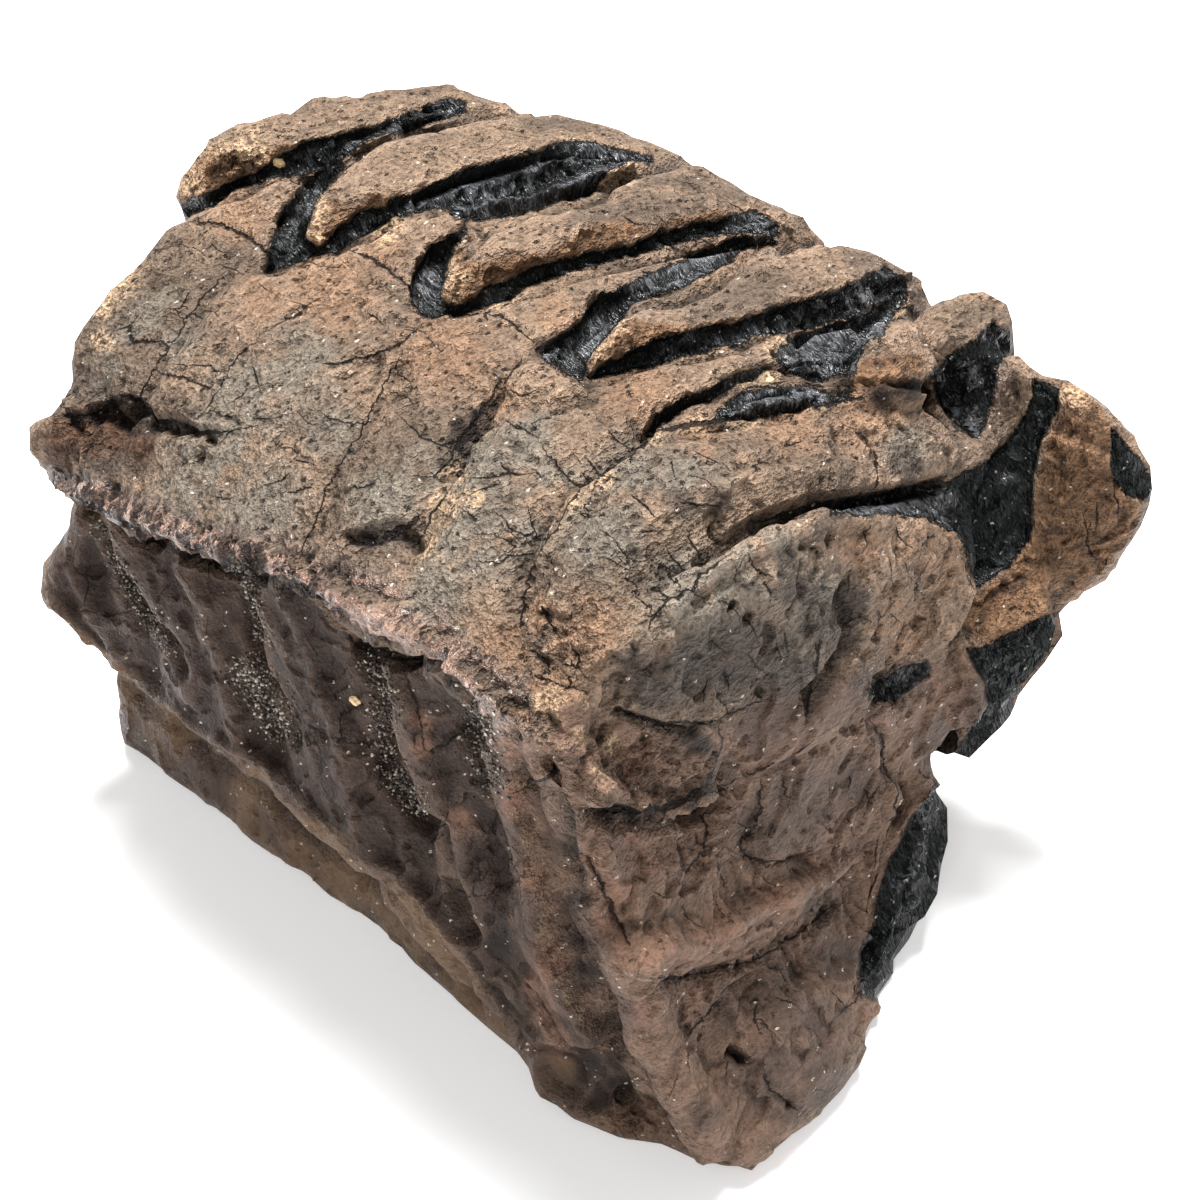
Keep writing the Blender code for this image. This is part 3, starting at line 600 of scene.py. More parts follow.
def even_noise(places, size, seed):
    """Gives smooth noise, from about -1 to 1, whose lumps are as wide as size."""
    at = places / size + seed * SEED_APART
    low = np.floor(at).astype(np.int64)
    part = at - low
    ease = part**3 * (part * (part * 6 - 15) + 10)
    total = np.zeros(len(places))
    for corner in np.ndindex(2, 2, 2):
        x, y, z = ((low + corner) * SHUFFLE).T
        mixed = x ^ y ^ z ^ (seed * SHUFFLE_SEED)
        mixed = (mixed ^ (mixed >> 13)) * SHUFFLE_AGAIN
        slope = np.column_stack([(mixed >> shift) & 1023 for shift in (0, 10, 20)]) / 511.5 - 1
        share = np.prod(np.where(corner, ease, 1 - ease), axis=1)
        total += share * dots(slope, part - corner)
    return total * NOISE_GAIN


def rough_noise(places, size, seed, layers=3):
    """Adds finer and finer layers of noise."""
    return sum(even_noise(places, size / 2**k, seed + k) / LAYER_FADES**k for k in range(layers))


# How far things wander, so that no edge runs straight: millimetres, or picture points for tones.
# Then how wide the lumps of that noise are in millimetres, and its layers. Each direction has its
# own seed.
WANDERS = {
    "enamel": (0.35, 2.2, 3, (3, 4, 5)),
    "folds": (0.35, 3.0, 2, (41, 42, 43)),
    "patches": (0.5, 2, 2, (44, 45, 46)),
    "outlines": (0.5, 3, 2, (47, 48, 49)),
    "tones": (7, 4, 3, (51, 52)),
}


def wander(name, places):
    """Gives how far each place wanders in two or three directions."""
    far, size, layers, seeds = WANDERS[name]
    return far * np.column_stack([rough_noise(places, size, seed, layers) for seed in seeds])


def smooth_step(x):
    """Rises from 0 at x = 0 to 1 at x = 1."""
    x = np.clip(x, 0, 1)
    return x * x * (3 - 2 * x)


def dots(a, b):
    """Gives the dot product of each row of a with the same row of b."""
    return np.einsum("ij,ij->i", a, b)


def off_span(points, start, end):
    """Gives each point's offset from the nearest place on a straight span."""
    span = end - start
    at = np.clip((points - start) @ span / max(span @ span, TINY), 0, 1)
    return points - start - at[:, None] * span


def off_spans(points, line):
    """Gives each point's distance to the nearest straight span of a line."""
    nearest = np.full(len(points), np.inf)
    for start, end in zip(line[:-1], line[1:]):
        away = off_span(points, start, end)
        nearest = np.minimum(nearest, dots(away, away))
    return np.sqrt(nearest)


def near_line(places, line, reach):
    """Picks the places within reach of a line's box."""
    low, high = line.min(axis=0) - reach, line.max(axis=0) + reach
    return np.flatnonzero(np.all((places > low) & (places < high), axis=1))


def depth_inside(points, outline, reach=40):
    """Gives each point's distance to an outline, positive inside it, no further than reach."""
    outline = np.asarray(outline, float)
    depth = np.full(len(points), -float(reach))
    near = near_line(points, outline, reach)
    ring = np.vstack([outline, outline[:1]])
    x, y = points[near].T
    inside = np.zeros(len(near), bool)
    for (x0, y0), (x1, y1) in zip(ring[:-1], ring[1:]):
        if y0 != y1:
            crosses = (y < y0) != (y < y1)
            inside ^= crosses & (x < x0 + (y - y0) * (x1 - x0) / (y1 - y0))
    depth[near] = np.clip(np.where(inside, 1, -1) * off_spans(points[near], ring), -reach, reach)
    return depth


def deepest(points, outlines):
    """Gives each point's distance to the edge of all the outlines together."""
    return np.max([depth_inside(points, outline) for outline in outlines], axis=0)


def places_of(mesh):
    """Reads a mesh's points in millimetres."""
    flat = np.empty(len(mesh.vertices) * 3, np.float32)
    mesh.vertices.foreach_get("co", flat)
    return flat.reshape(-1, 3).astype(float) * TO_MM


def outward_of(mesh):
    """Reads a mesh's normals at its points."""
    flat = np.empty(len(mesh.vertices) * 3, np.float32)
    mesh.vertices.foreach_get("normal", flat)
    return flat.reshape(-1, 3).astype(float)


def evened(mesh, values, rounds):
    """Blends values at a mesh's points with those of their neighbours."""
    ends = np.empty(len(mesh.edges) * 2, np.int64)
    mesh.edges.foreach_get("vertices", ends)
    a, b = ends.reshape(-1, 2).T
    count = np.bincount(ends, minlength=len(values)).astype(float) + 1
    columns = values.reshape(len(values), -1).astype(float)
    for _ in range(rounds):
        columns = np.column_stack([
            (c + np.bincount(a, c[b], len(c)) + np.bincount(b, c[a], len(c))) / count
            for c in columns.T
        ])
    return columns.reshape(values.shape)


def surface_of(mesh):
    """Makes a surface in millimetres that rays can be cast on."""
    places = places_of(mesh)
    return BVHTree.FromPolygons(places.tolist(), [tuple(f.vertices) for f in mesh.polygons])


# A place is seen if it faces the camera and a ray from just off it gets there.
RAY_LIFTED = 0.5
RAY_AHEAD = 0.4
RAY_REACH = 120
SEEN_FROM = -0.05
SEEN_FADES = 0.15


def seen_share(mesh, surface):
    """Gives 1 where the camera sees a mesh's points and 0 where it doesn't, with soft edges."""
    places = places_of(mesh)
    outward = outward_of(mesh)
    to_eye = EYE - places
    to_eye /= np.linalg.norm(to_eye, axis=1)[:, None]
    seen = smooth_step((dots(outward, to_eye) - SEEN_FROM) / SEEN_FADES)
    lifted = places + outward * RAY_LIFTED + to_eye * RAY_AHEAD
    for i in np.flatnonzero(seen > 0):
        if surface.ray_cast(Vector(lifted[i]), Vector(to_eye[i]), RAY_REACH)[0] is not None:
            seen[i] = 0
    return evened(mesh, seen, rounds=4)


# The furthest that the enamel's edge is followed, in millimetres.
ENAMEL_REACH = 4


def enamel_depth(places, seen):
    """Gives the distance in millimetres to the edge of the black enamel, positive inside it."""
    ragged = places + wander("enamel", places)
    shown = deepest(in_picture(ragged), ENAMEL.values()) / POINTS_PER_MM
    across = [(b - a) / 2 - np.abs(ragged[:, 0] - (a + b) / 2) for a, b in FAR_FURROWS]
    hidden = np.minimum(np.max(across, axis=0), (ragged[:, 1] - FAR_SIDE_Y) / FAR_SIDE_FADES)
    seen = np.minimum(3 * seen, 1)
    return shown * seen + np.clip(hidden, -ENAMEL_REACH, ENAMEL_REACH) * (1 - seen)


# How wide the front's and the wall's edges fade, in picture points.
FRONT_FADES = 14
WALL_FADES = 8

# How far an outward direction has to lean to belong to the front, the side or the top, and over
# how much more lean it comes to belong wholly.
FRONT_FROM = 0.35
SIDE_FROM = 0.05
TOP_FROM = 0.45
TURN_FADES = 0.3

# How high or deep the relief stands, in millimetres.
CRACK_SINKS = 0.35
ENAMEL_SINKS = 1.1
ENAMEL_CHUNKS = 0.9
TORN_TEETH = 3
SWELLS = 0.3
RUBBLE = 0.9
GRAIN = 0.2
WALL_RIBS = 0.7
FRONT_STEPS = 0.5
CEMENT_STEPS = 0.3

# How many steps high the terraces are, and how much of each step is its riser.
FRONT_TERRACES = (2.2, 0.15)
CEMENT_TERRACES = (1.6, 0.12)

# How the torn teeth and the front's steps are drawn out upright.
TEETH_DRAWN = (1, 1, 0.6)
STEPS_DRAWN = (1, 1, 0.8)

# The noise behind each: how wide its lumps are in millimetres, its seed, and its layers.
LUMPS = {
    "enamel chunks": (3.0, 11), "torn teeth": (2.4, 61, 2), "torn stretches": (7, 62),
    "swells": (6, 21), "rubble": (1.5, 91, 2), "grain": (2.2, 31, 2), "wall ribs": (7, 65, 2),
    "front steps": (7, 67), "cement steps": (6, 81),
    "coarse": (13, 71), "middle": (5, 75), "small": (2, 79),
}

# Where the relief and the substances begin and end, in millimetres. The torn rim hangs just
# under its line, turns to a whole ribbon towards the front, and dies out at the corner. The face
# that the block rests on stays flat.
CRACK_WIDTH = 0.6
RIM_DROP = 1
RIM_REACH = 3.5
RIM_BAND = 2.6
RIM_ENDS = 36
RIM_FADES = 6
RIBBON_FROM = 8
RIBBON_FADES = 6
WALL_DROP = 0.5
WALL_STARTS = 1.5
WALL_RIBS_START = 3
FOOT_DROP = 0.6
FOOT_FADES = 0.8
ENAMEL_FADES = 0.9
DENTINE_REACH = 4
BASE_BARE = 0.2
BASE_FADES = 2
CLEAR_OF_BOX = 0.02

# How deep a fine hollow and a broad one are when they count fully, in millimetres.
HOLLOW = 0.18
BROAD_HOLLOW = 0.9

# How readily faces go that aren't seen.
UNSEEN_GOES = 0.05


def polyline_on(points, surface, spacing=6):
    """Follows picture points across a surface, with places at a close spacing in the picture."""
    points = np.asarray(points, float)
    path = []
    for start, end in zip(points[:-1], points[1:]):
        steps = max(int(np.linalg.norm(end - start) / spacing), 1)
        path += [start + (end - start) * i / steps for i in range(steps)]
    return on_tooth([*path, points[-1]], surface)


def level_of(name, surface, x):
    """Reads the height of a fold's line where it passes x."""
    line = polyline_on(FOLDS[name][2], surface, 10)
    order = np.argsort(line[:, 0])
    return np.interp(x, line[order, 0], line[order, 2])


def fold_height(places, surface):
    """Gives the height of all the folds at places on the tooth."""
    height = np.zeros(len(places))
    crooked = wander("folds", places)
    for rise, half_width, points in FOLDS.values():
        line = polyline_on(points, surface)
        near = near_line(places, line, half_width + 1)
        away = off_spans(places[near] + crooked[near], line)
        height[near] += rise * smooth_step(1 - away / half_width)
    return height


def patch_height(places, seen):
    """Gives the height of all the patches at places on the tooth."""
    shown = in_picture(places + wander("patches", places))
    height = np.zeros(len(places))
    for rise, edge, outline in PATCHES.values():
        height += rise * smooth_step(depth_inside(shown, outline) / POINTS_PER_MM / edge + 0.5)
    return height * seen


def crack_lines(surface):
    """Lays every crack on the surface as a crooked line, with how wide it gapes along it."""
    chance = np.random.default_rng(5)
    lines = []
    for gape, points in CRACKS.values():
        line = polyline_on(points, surface, 5)
        line[1:-1] += chance.normal(0, CRACKS_CROOKED, line[1:-1].shape)
        along = np.linspace(0, 1, len(line))
        from_end = np.minimum(along, 1 - along)
        lines.append((gape * smooth_step(CRACK_OPENS * from_end + CRACK_TIP), line))
    for count, x, y, radius, way in SLITS:
        for _ in range(count):
            angle = radians(way + chance.normal(0, SLIT_STRAYS))
            step = np.array((cos(angle), -sin(angle))) * chance.uniform(*SLIT_LENGTH) / 3
            bend = step[::-1] * (1, -1) * chance.normal(0, SLIT_BENDS)
            middle = np.array((x, y)) + chance.normal(0, radius / 1.8, 2)
            path = [middle + step * k + bend * k * k / 3 for k in SLIT_THIRDS]
            slit = on_tooth(path, surface)
            if len(slit) == len(path) and np.linalg.norm(slit[-1] - slit[0]) < LONGEST_SLIT:
                lines.append((chance.uniform(*SLIT_GAPE) * np.array(SLIT_SHARES), slit))
    return lines


def beside_cracks(places, outward, lines):
    """Gives each place's offset to the side of the nearest crack, and how open that is."""
    nearest = np.full(len(places), CRACK_REACH)
    side = np.full(len(places), CRACK_REACH)
    gape = np.zeros(len(places))
    for widths, line in lines:
        near = near_line(places, line, CRACK_REACH)
        for start, end, width in zip(line[:-1], line[1:], widths):
            away = off_span(places[near], start, end)
            distance = np.linalg.norm(away, axis=1)
            closer = distance < nearest[near]
            these = near[closer]
            along = (end - start) / max(np.linalg.norm(end - start), 1e-6)
            nearest[these] = distance[closer]
            side[these] = dots(np.cross(outward[these], along), away[closer])
            gape[these] = width
    return side, gape * smooth_step(1.2 * (1 - nearest / CRACK_REACH))


def tone(name, places, seen):
    """Gives how much of a tone each place has."""
    shown = in_picture(places) + wander("tones", places)
    share = np.zeros(len(places))
    for x, y, radius in TONES[name]:
        away = np.hypot(shown[:, 0] - x, shown[:, 1] - y)
        share = np.maximum(share, smooth_step(SPOT_FADES * (1 - away / (SPOT_REACH * radius))))
    if name in HIDDEN_TONES:
        hidden = smooth_step(3 * rough_noise(places, HIDDEN_PATCH, HIDDEN_TONES[name], 2) + 0.1)
        return share * seen + HIDDEN_SHARE * hidden * (1 - seen)
    return share * seen


def lumps(name, places):
    """Gives the noise of one kind of relief."""
    return rough_noise(places, *LUMPS[name])


def facing(outward):
    """Gives how far each place faces the front, and how far it faces the ribbed wall's side."""
    front = smooth_step((outward[:, 0] - FRONT_FROM) / TURN_FADES)
    return front, smooth_step((-outward[:, 1] - SIDE_FROM) / TURN_FADES) * (1 - front)


def terraced(values, steps, riser):
    """Turns a smooth rise into flat treads, with a short riser before each."""
    levels = steps * values
    tread = np.floor(levels)
    return tread + smooth_step((levels - tread) / riser)


def survey(mesh, rounds):
    """Reads a mesh's places, its broad way outward, what is seen of it, its surface, the level of
    the rim beside each place, and the enamel there as a depth and as a share."""
    places = places_of(mesh)
    surface = surface_of(mesh)
    seen = seen_share(mesh, surface)
    overall = evened(mesh, outward_of(mesh), rounds)
    rim_level = level_of("rim", surface, places[:, 0])
    enamel = enamel_depth(places, seen)
    in_enamel = smooth_step(enamel / ENAMEL_FADES + 0.5)
    return places, overall, seen, surface, rim_level, enamel, in_enamel


def new_piece(name):
    """Adds a piece that has no mesh yet."""
    bpy.ops.object.add(type="MESH")
    piece = bpy.context.object
    piece.name = name
    return piece


def keep_on(mesh, name, values):
    """Keeps one number for each point of the mesh, for its material to read."""
    kept_values = mesh.attributes.new(name, "FLOAT", "POINT").data
    kept_values.foreach_set("value", values.astype(np.float32))


tooth = new_piece("fossil_tooth")
tooth.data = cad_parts["tooth"].data.copy()
tooth.data.materials.clear()
bpy.ops.object.mode_set(mode="EDIT")
bpy.ops.mesh.select_all(action="SELECT")
bpy.ops.mesh.remove_doubles(threshold=SAME_PLACE / TO_MM)
bpy.ops.object.mode_set(mode="OBJECT")
remesh = tooth.modifiers.new("close mesh", "REMESH")
remesh.mode = "VOXEL"
remesh.voxel_size = SKIN_VOXEL / TO_MM
soften = tooth.modifiers.new("soften", "SMOOTH")
soften.iterations = SKIN_SMOOTHING
for step in ("close mesh", "soften"):
    bpy.ops.object.modifier_apply(modifier=step)

# The skin is carved outward and inward along its broad normals, in one move.
mesh = tooth.data
places, overall, seen, surface, rim_level, enamel, in_enamel = survey(mesh, rounds=20)
overall /= np.linalg.norm(overall, axis=1)[:, None]
faces_front, faces_side = facing(overall)
side, gape = beside_cracks(places, overall, crack_lines(surface))
height = fold_height(places, surface) + patch_height(places, seen)
height -= CRACK_SINKS * gape * smooth_step(1 - np.abs(side) / CRACK_WIDTH)
height -= ENAMEL_SINKS * in_enamel
height += ENAMEL_CHUNKS * (np.abs(lumps("enamel chunks", places)) - 0.4) * in_enamel
below_rim = rim_level - places[:, 2]
at_rim = smooth_step(1 - np.abs(below_rim - RIM_DROP) / RIM_REACH)
at_rim *= smooth_step(-overall[:, 1] * 2)
torn = np.maximum(0.3 - np.abs(lumps("torn teeth", places * TEETH_DRAWN)), -0.2)
stretches = smooth_step(0.7 + 2 * lumps("torn stretches", places))
height += TORN_TEETH * at_rim * torn * stretches
height += SWELLS * lumps("swells", places)
crumbly = tone("crumbly", places, seen)
height += RUBBLE * lumps("rubble", places) * crumbly * (1 - in_enamel)
calmer = 1 - 0.75 * (faces_front + faces_side)
height += GRAIN * lumps("grain", places) * (1 - in_enamel) * calmer
wall_ribs = 0.35 - np.abs(lumps("wall ribs", places))
height += WALL_RIBS * wall_ribs * faces_side * smooth_step(below_rim / WALL_RIBS_START)
front_steps = terraced(lumps("front steps", places * STEPS_DRAWN), *FRONT_TERRACES)
height += FRONT_STEPS * front_steps * faces_front
cement_steps = terraced(lumps("cement steps", places), *CEMENT_TERRACES)
height += CEMENT_STEPS * cement_steps * (1 - faces_front) * (1 - in_enamel)
height *= smooth_step((places[:, 2] - BASE_BARE) / BASE_FADES)
box = np.array(cad_box) * TO_MM
places += overall * height[:, None]
places = np.clip(places, box[0] + CLEAR_OF_BOX, box[1] - CLEAR_OF_BOX)
mesh.vertices.foreach_set("co", (places / TO_MM).astype(np.float32).ravel())
mesh.update()

# The sides turned away keep fewer faces.
fewer = tooth.modifiers.new("fewer faces", "DECIMATE")
may_go = tooth.vertex_groups.new(name="may go")
for i, share in enumerate(seen):
    may_go.add([i], 1 - share, "REPLACE")
fewer.vertex_group = "may go"
fewer.vertex_group_factor = UNSEEN_GOES
fewer.ratio = SKIN_TRIANGLES / sum(len(f.vertices) - 2 for f in mesh.polygons)
fewer.use_collapse_triangulate = True
bpy.ops.object.modifier_apply(modifier="fewer faces")
tooth.vertex_groups.clear()

# The finish reads these numbers: where each substance lies, its tones, among them painted shade
# and painted shadow, and what is hollow.
mesh = tooth.data
places, overall, seen, surface, rim_level, enamel, in_enamel = survey(mesh, rounds=12)
outward = outward_of(mesh)
faces_front, faces_side = facing(overall)
side, gape = beside_cracks(places, outward, crack_lines(surface))
below_rim = rim_level - places[:, 2]
rim = smooth_step(1.6 * (1 - np.abs(below_rim - RIM_DROP) / RIM_BAND))
rim *= smooth_step(-outward[:, 1] * 2)
rim *= smooth_step((RIM_ENDS - places[:, 0]) / RIM_FADES)
dentine = deepest(in_picture(places + 0.2 * outward), DENTINE.values()) / POINTS_PER_MM
shown = in_picture(places + wander("outlines", places))
front = smooth_step(depth_inside(shown, FRONT_OUTLINE) / FRONT_FADES + 0.5) * seen
front = np.maximum(front, faces_front * (1 - seen))
wall = smooth_step(depth_inside(shown, WALL_OUTLINE) / WALL_FADES + 0.5) * seen
side_wall = faces_side * smooth_step((below_rim - WALL_DROP) / WALL_STARTS)
wall = np.maximum(wall, side_wall * (1 - seen))
below_lip = level_of("lip", surface, places[:, 0]) - places[:, 2]
fine = dots(evened(mesh, places, rounds=5) - places, outward)
broad = dots(evened(mesh, places, rounds=30) - places, outward)
NUMBERS = {
    "enamel": enamel,
    "dentine": dentine * seen - DENTINE_REACH * (1 - seen),
    "crack_side": side,
    "crack_gape": gape,
    "hidden": 1 - seen,
    "rim": rim,
    "ribbon": smooth_step((places[:, 0] - RIBBON_FROM) / RIBBON_FADES),
    "front": front,
    "wall": wall,
    "foot": wall * smooth_step((below_lip - FOOT_DROP) / FOOT_FADES),
    "top": smooth_step((overall[:, 2] - TOP_FROM) / TURN_FADES),
    **{name: tone(name, places, seen) for name in TONES},
    **{name: 0.5 + 0.55 * lumps(name, places) for name in ("coarse", "middle", "small")},
    "hollow": np.clip(fine / HOLLOW, -1, 1),
    "broad_hollow": np.clip(broad / BROAD_HOLLOW, -1, 1),
}
for name, values in NUMBERS.items():
    keep_on(mesh, name, values)

# The enamel, the torn rim and the rubble have facets. The rest is smooth.
mesh.shade_smooth()
corners = np.zeros(len(mesh.loops), int)
mesh.loops.foreach_get("vertex_index", corners)
chipped = np.maximum.reduce([in_enamel, rim, NUMBERS["crumbly"]])
chipped = np.maximum.reduceat(chipped[corners], np.arange(0, len(corners), 3))
mesh.polygons.foreach_set("use_smooth", chipped < 0.5)
mesh.set_sharp_from_angle(angle=SHARP_FROM)


# The finish. Each number kept on the skin picks out one substance. Pores, crazing and grain are
# worked out at every place, in millimetres.
CEMENT = (0.196, 0.134, 0.092, 1)
CEMENT_DARK = (0.112, 0.080, 0.058, 1)
GREY = (0.148, 0.124, 0.098, 1)
WARM = (0.206, 0.124, 0.077, 1)
PALE = (0.350, 0.240, 0.148, 1)
PINK = (0.150, 0.084, 0.058, 1)
FIBROUS = (0.060, 0.030, 0.019, 1)
DUSKY_AND_SHADE = (0.042, 0.031, 0.026, 1)
DENTINE_BROWN = (0.148, 0.084, 0.047, 1)
DENTINE_DARK = (0.078, 0.045, 0.028, 1)
WALL_BROWN = (0.026, 0.017, 0.0135, 1)
WALL_CREST = (0.062, 0.041, 0.032, 1)
FOOT_BROWN = (0.125, 0.080, 0.050, 1)
RIM_BROWN = (0.215, 0.130, 0.094, 1)
RIM_DARK = (0.045, 0.029, 0.024, 1)
FRONT_BROWN = (0.124, 0.077, 0.054, 1)
ENAMEL_BLACK = (0.008, 0.009, 0.009, 1)
ENAMEL_GREY = (0.094, 0.097, 0.105, 1)
SHADOW_BLACK = (0.013, 0.009, 0.008, 1)
PIT_BLACK = (0.009, 0.006, 0.005, 1)
GLINT_PAINT = (0.720, 0.640, 0.540, 1)


def new_finish(name, settings):
    """Starts a material, with some of its shader's settings."""
    finish = bpy.data.materials.new(name)
    finish.use_nodes = True
    for setting, value in settings.items():
        finish.node_tree.nodes["Principled BSDF"].inputs[setting].default_value = value
    return finish


def made(kind, inputs, output=0, **settings):
    """Adds a node to the finish, sets or links its inputs, and gives one of its outputs."""
    node = finish.node_tree.nodes.new("ShaderNode" + kind)
    for name, value in settings.items():
        setattr(node, name, value)
    for name, value in inputs.items():
        if isinstance(value, bpy.types.NodeSocket):
            finish.node_tree.links.new(value, node.inputs[name])
        else:
            node.inputs[name].default_value = value
    return node.outputs[output]


def shows(setting, value):
    """Links a value to one of the finish's shader settings."""
    shader = finish.node_tree.nodes["Principled BSDF"]
    finish.node_tree.links.new(value, shader.inputs[setting])


def kept(name):
    """Reads a number kept on the skin."""
    return made("Attribute", {}, "Fac", attribute_name=name)


def sums(operation, total, *values):
    """Works out a sum of two or more numbers, from the left."""
    for value in values:
        total = made("Math", {0: total, 1: value}, operation=operation)
    return total


def plus(*values):
    """Adds numbers."""
    return sums("ADD", *values)


def less(a, b):
    """Takes b from a."""
    return sums("SUBTRACT", a, b)


def times(*values):
    """Multiplies numbers."""
    return sums("MULTIPLY", *values)


def most(*values):
    """Gives the greatest number."""
    return sums("MAXIMUM", *values)


def parts(*pairs):
    """Takes a share of each value."""
    return [times(value, share) for value, share in pairs]


def rises(value, low, high, top=1.0):
    """Rises smoothly from 0 to top as the value goes from low to high."""
    return made("MapRange", {"Value": value, "From Min": low, "From Max": high, "To Max": top},
                interpolation_type="SMOOTHSTEP")


def goes(value, start, end, low=0.0):
    """Goes evenly from start to end as the value goes from low to 1."""
    return made("MapRange", {"Value": value, "From Min": low, "To Min": start, "To Max": end})


def mixed(share, a, b, kind="RGBA"):
    """Mixes two colours, or two numbers or directions."""
    return made("Mix", {"Factor": share, "A": a, "B": b}, "Result", data_type=kind)


def shaded(share, base, other, amount):
    """Mixes a colour with a darker or paler one, by an amount at most."""
    return mixed(times(share, amount), base, other)


def squeezed(at, shares):
    """Squeezes the places that a pattern reads, by a share along each axis."""
    return made("VectorMath", {0: at, 1: shares}, operation="MULTIPLY")


def noisy(size, layers, at):
    """Gives noise from 0 to 1 whose lumps are as wide as size, in millimetres."""
    return made("TexNoise", {"Vector": at, "Scale": 1 / size, "Detail": layers, "Roughness": 0.65})


def cells(size, at, output="Distance", feature="F1"):
    """Gives the distance to, or the edge between, scattered cells as wide as size."""
    return made("TexVoronoi", {"Vector": at, "Scale": 1 / size}, output, feature=feature)


finish = new_finish("fossil tooth", {})
object_place = made("TexCoord", {}, "Object")
place = made("VectorMath", {0: object_place, "Scale": TO_MM}, operation="SCALE")
wall, foot, front, rim, top = kept("wall"), kept("foot"), kept("front"), kept("rim"), kept("top")
hollow, broad_hollow, hidden = kept("hollow"), kept("broad_hollow"), kept("hidden")
coarse, middle, small, crumbly = kept("coarse"), kept("middle"), kept("small"), kept("crumbly")

# Ragged edges between the substances.
CRUMB_WIDTH = 0.36
FRAYED_BY = (1.6, -1.3, 1.1)
ENAMEL_FRAY = 1.1
ENAMEL_EDGE = (-0.12, 0.12)
DENTINE_FRAY = 2.0
DENTINE_EDGE = (-0.3, 0.4)
crumbs = noisy(CRUMB_WIDTH, 2.0, place)
fray = less(crumbs, 0.5)
warped = made("VectorMath", {0: fray, 1: FRAYED_BY, 2: place}, operation="MULTIPLY_ADD")
enamel = rises(plus(kept("enamel"), times(fray, ENAMEL_FRAY)), *ENAMEL_EDGE)
dentine = rises(plus(kept("dentine"), times(fray, DENTINE_FRAY)), *DENTINE_EDGE)

# Grain: streaks along the plates, fibres across the enamel, and torn strands down the rim.
GRAIN_WIDTH = 0.8
STREAKED = (1.3, 0.6, 1.1)
FIBRED = (0.5, 2.2, 0.4)
STRAND_WIDTH = 1.3
DRAWN_DOWN = (1.2, 1.2, 0.2)
STRAND_EDGE = (0.40, 0.56)
RIBBON_ADDS = 0.2
grain = noisy(GRAIN_WIDTH, 2.0, squeezed(place, mixed(enamel, STREAKED, FIBRED, "VECTOR")))
strands = noisy(STRAND_WIDTH, 1.0, squeezed(warped, DRAWN_DOWN))
strands = plus(strands, times(kept("ribbon"), RIBBON_ADDS))
strands = times(rim, rises(strands, *STRAND_EDGE))
speckle = plus(*parts((grain, 0.5), (crumbs, 0.5)))

# Pores are small pits, most of them on top. Chance gives each cell its tint, which says whether
# it holds a pore, a painted glint (a pale speck that stands in for sparkle) or nothing.
PORE_CELL = 1.0
PORES_DRAWN = (1.1, 0.6, 1.1)
PORE_EDGE = (0.28, 0.12)
PORES_WHERE = (0.25, 0.5)
PORE_TINTS = (0.66, 0.6)
PORES_OFF_TOP = 0.45
GLINT_EDGE = (0.20, 0.11)
GLINT_TINTS = (0.73, 0.75)
pore_cells = cells(PORE_CELL, squeezed(warped, PORES_DRAWN))
pore_tint = pore_cells.node.outputs["Color"]
pores = times(rises(pore_cells, *PORE_EDGE), rises(middle, *PORES_WHERE))
pores = times(pores, rises(pore_tint, *PORE_TINTS), most(top, PORES_OFF_TOP))
painted_glint = times(rises(pore_tint, *GLINT_TINTS), rises(pore_cells, *GLINT_EDGE))

# Crazing is a net of fine cracks. It is wider and stronger on the sides turned away, where no
# crack is laid one by one.
CRAZE_CELL = 4.5
CRAZE_EDGE = (0.018, 0.005)
CRAZED_WHERE = (0.45, 0.65)
CRAZE_WIDENS = 0.02
CRAZE_SHARE = 0.45
CRAZE_GAINS = 0.4
FLAKE_CELL = 1 / 0.55
net = less(cells(CRAZE_CELL, warped, feature="DISTANCE_TO_EDGE"), times(hidden, CRAZE_WIDENS))
crazing = times(rises(net, *CRAZE_EDGE), rises(small, *CRAZED_WHERE))
crazing = times(crazing, plus(times(hidden, CRAZE_GAINS), CRAZE_SHARE))
flakes = cells(FLAKE_CELL, warped, "Color")

# The cracks laid one by one: how ragged, how wide for each one's gape, and how soft their edges.
CRACK_FRAY = 0.5
CRACK_HALF_WIDTH = 0.14
CRACK_EDGE = (0.045, -0.045)
CRACK_STARTS = (0.02, 0.1)
crack_side, crack_gape = kept("crack_side"), kept("crack_gape")
crack_offset = sums("ABSOLUTE", plus(crack_side, times(fray, CRACK_FRAY)), 0.0)
crack = rises(less(crack_offset, times(crack_gape, CRACK_HALF_WIDTH)), *CRACK_EDGE)
crack = times(crack, rises(crack_gape, *CRACK_STARTS))

# Colour, from the cement up. Between each pair of values of noise or hollowness one tone turns to
# the next. A third number is how far it goes. COVERS says how strongly a tone covers at most.
CEMENT_TURNS = (0.3, 0.7)
GREY_TURNS = (0.15, 0.5)
CREST_TURNS = (0.25, -0.6, 0.85)
CREST_PATCHES = (0.45, 0.8, 0.15)
FOOT_TURNS = (0.2, 0.6)
FIBRES_TURN = (0.4, 0.6)
DENTINE_TURNS = (0.2, 0.5)
PALE_TURNS = (0.42, 0.56)
COVERS = {"warm": 0.8, "grey": 0.95, "pink": 0.8, "dusky off the front": 0.45, "dusky_and_shade": 0.62,
          "painted_shadow": 0.9, "painted_glint": 0.65}
colour = mixed(rises(coarse, *CEMENT_TURNS), CEMENT_DARK, CEMENT)
colour = shaded(kept("warm"), colour, WARM, COVERS["warm"])
greyed = times(kept("grey"), rises(middle, *GREY_TURNS))
colour = shaded(greyed, colour, GREY, COVERS["grey"])
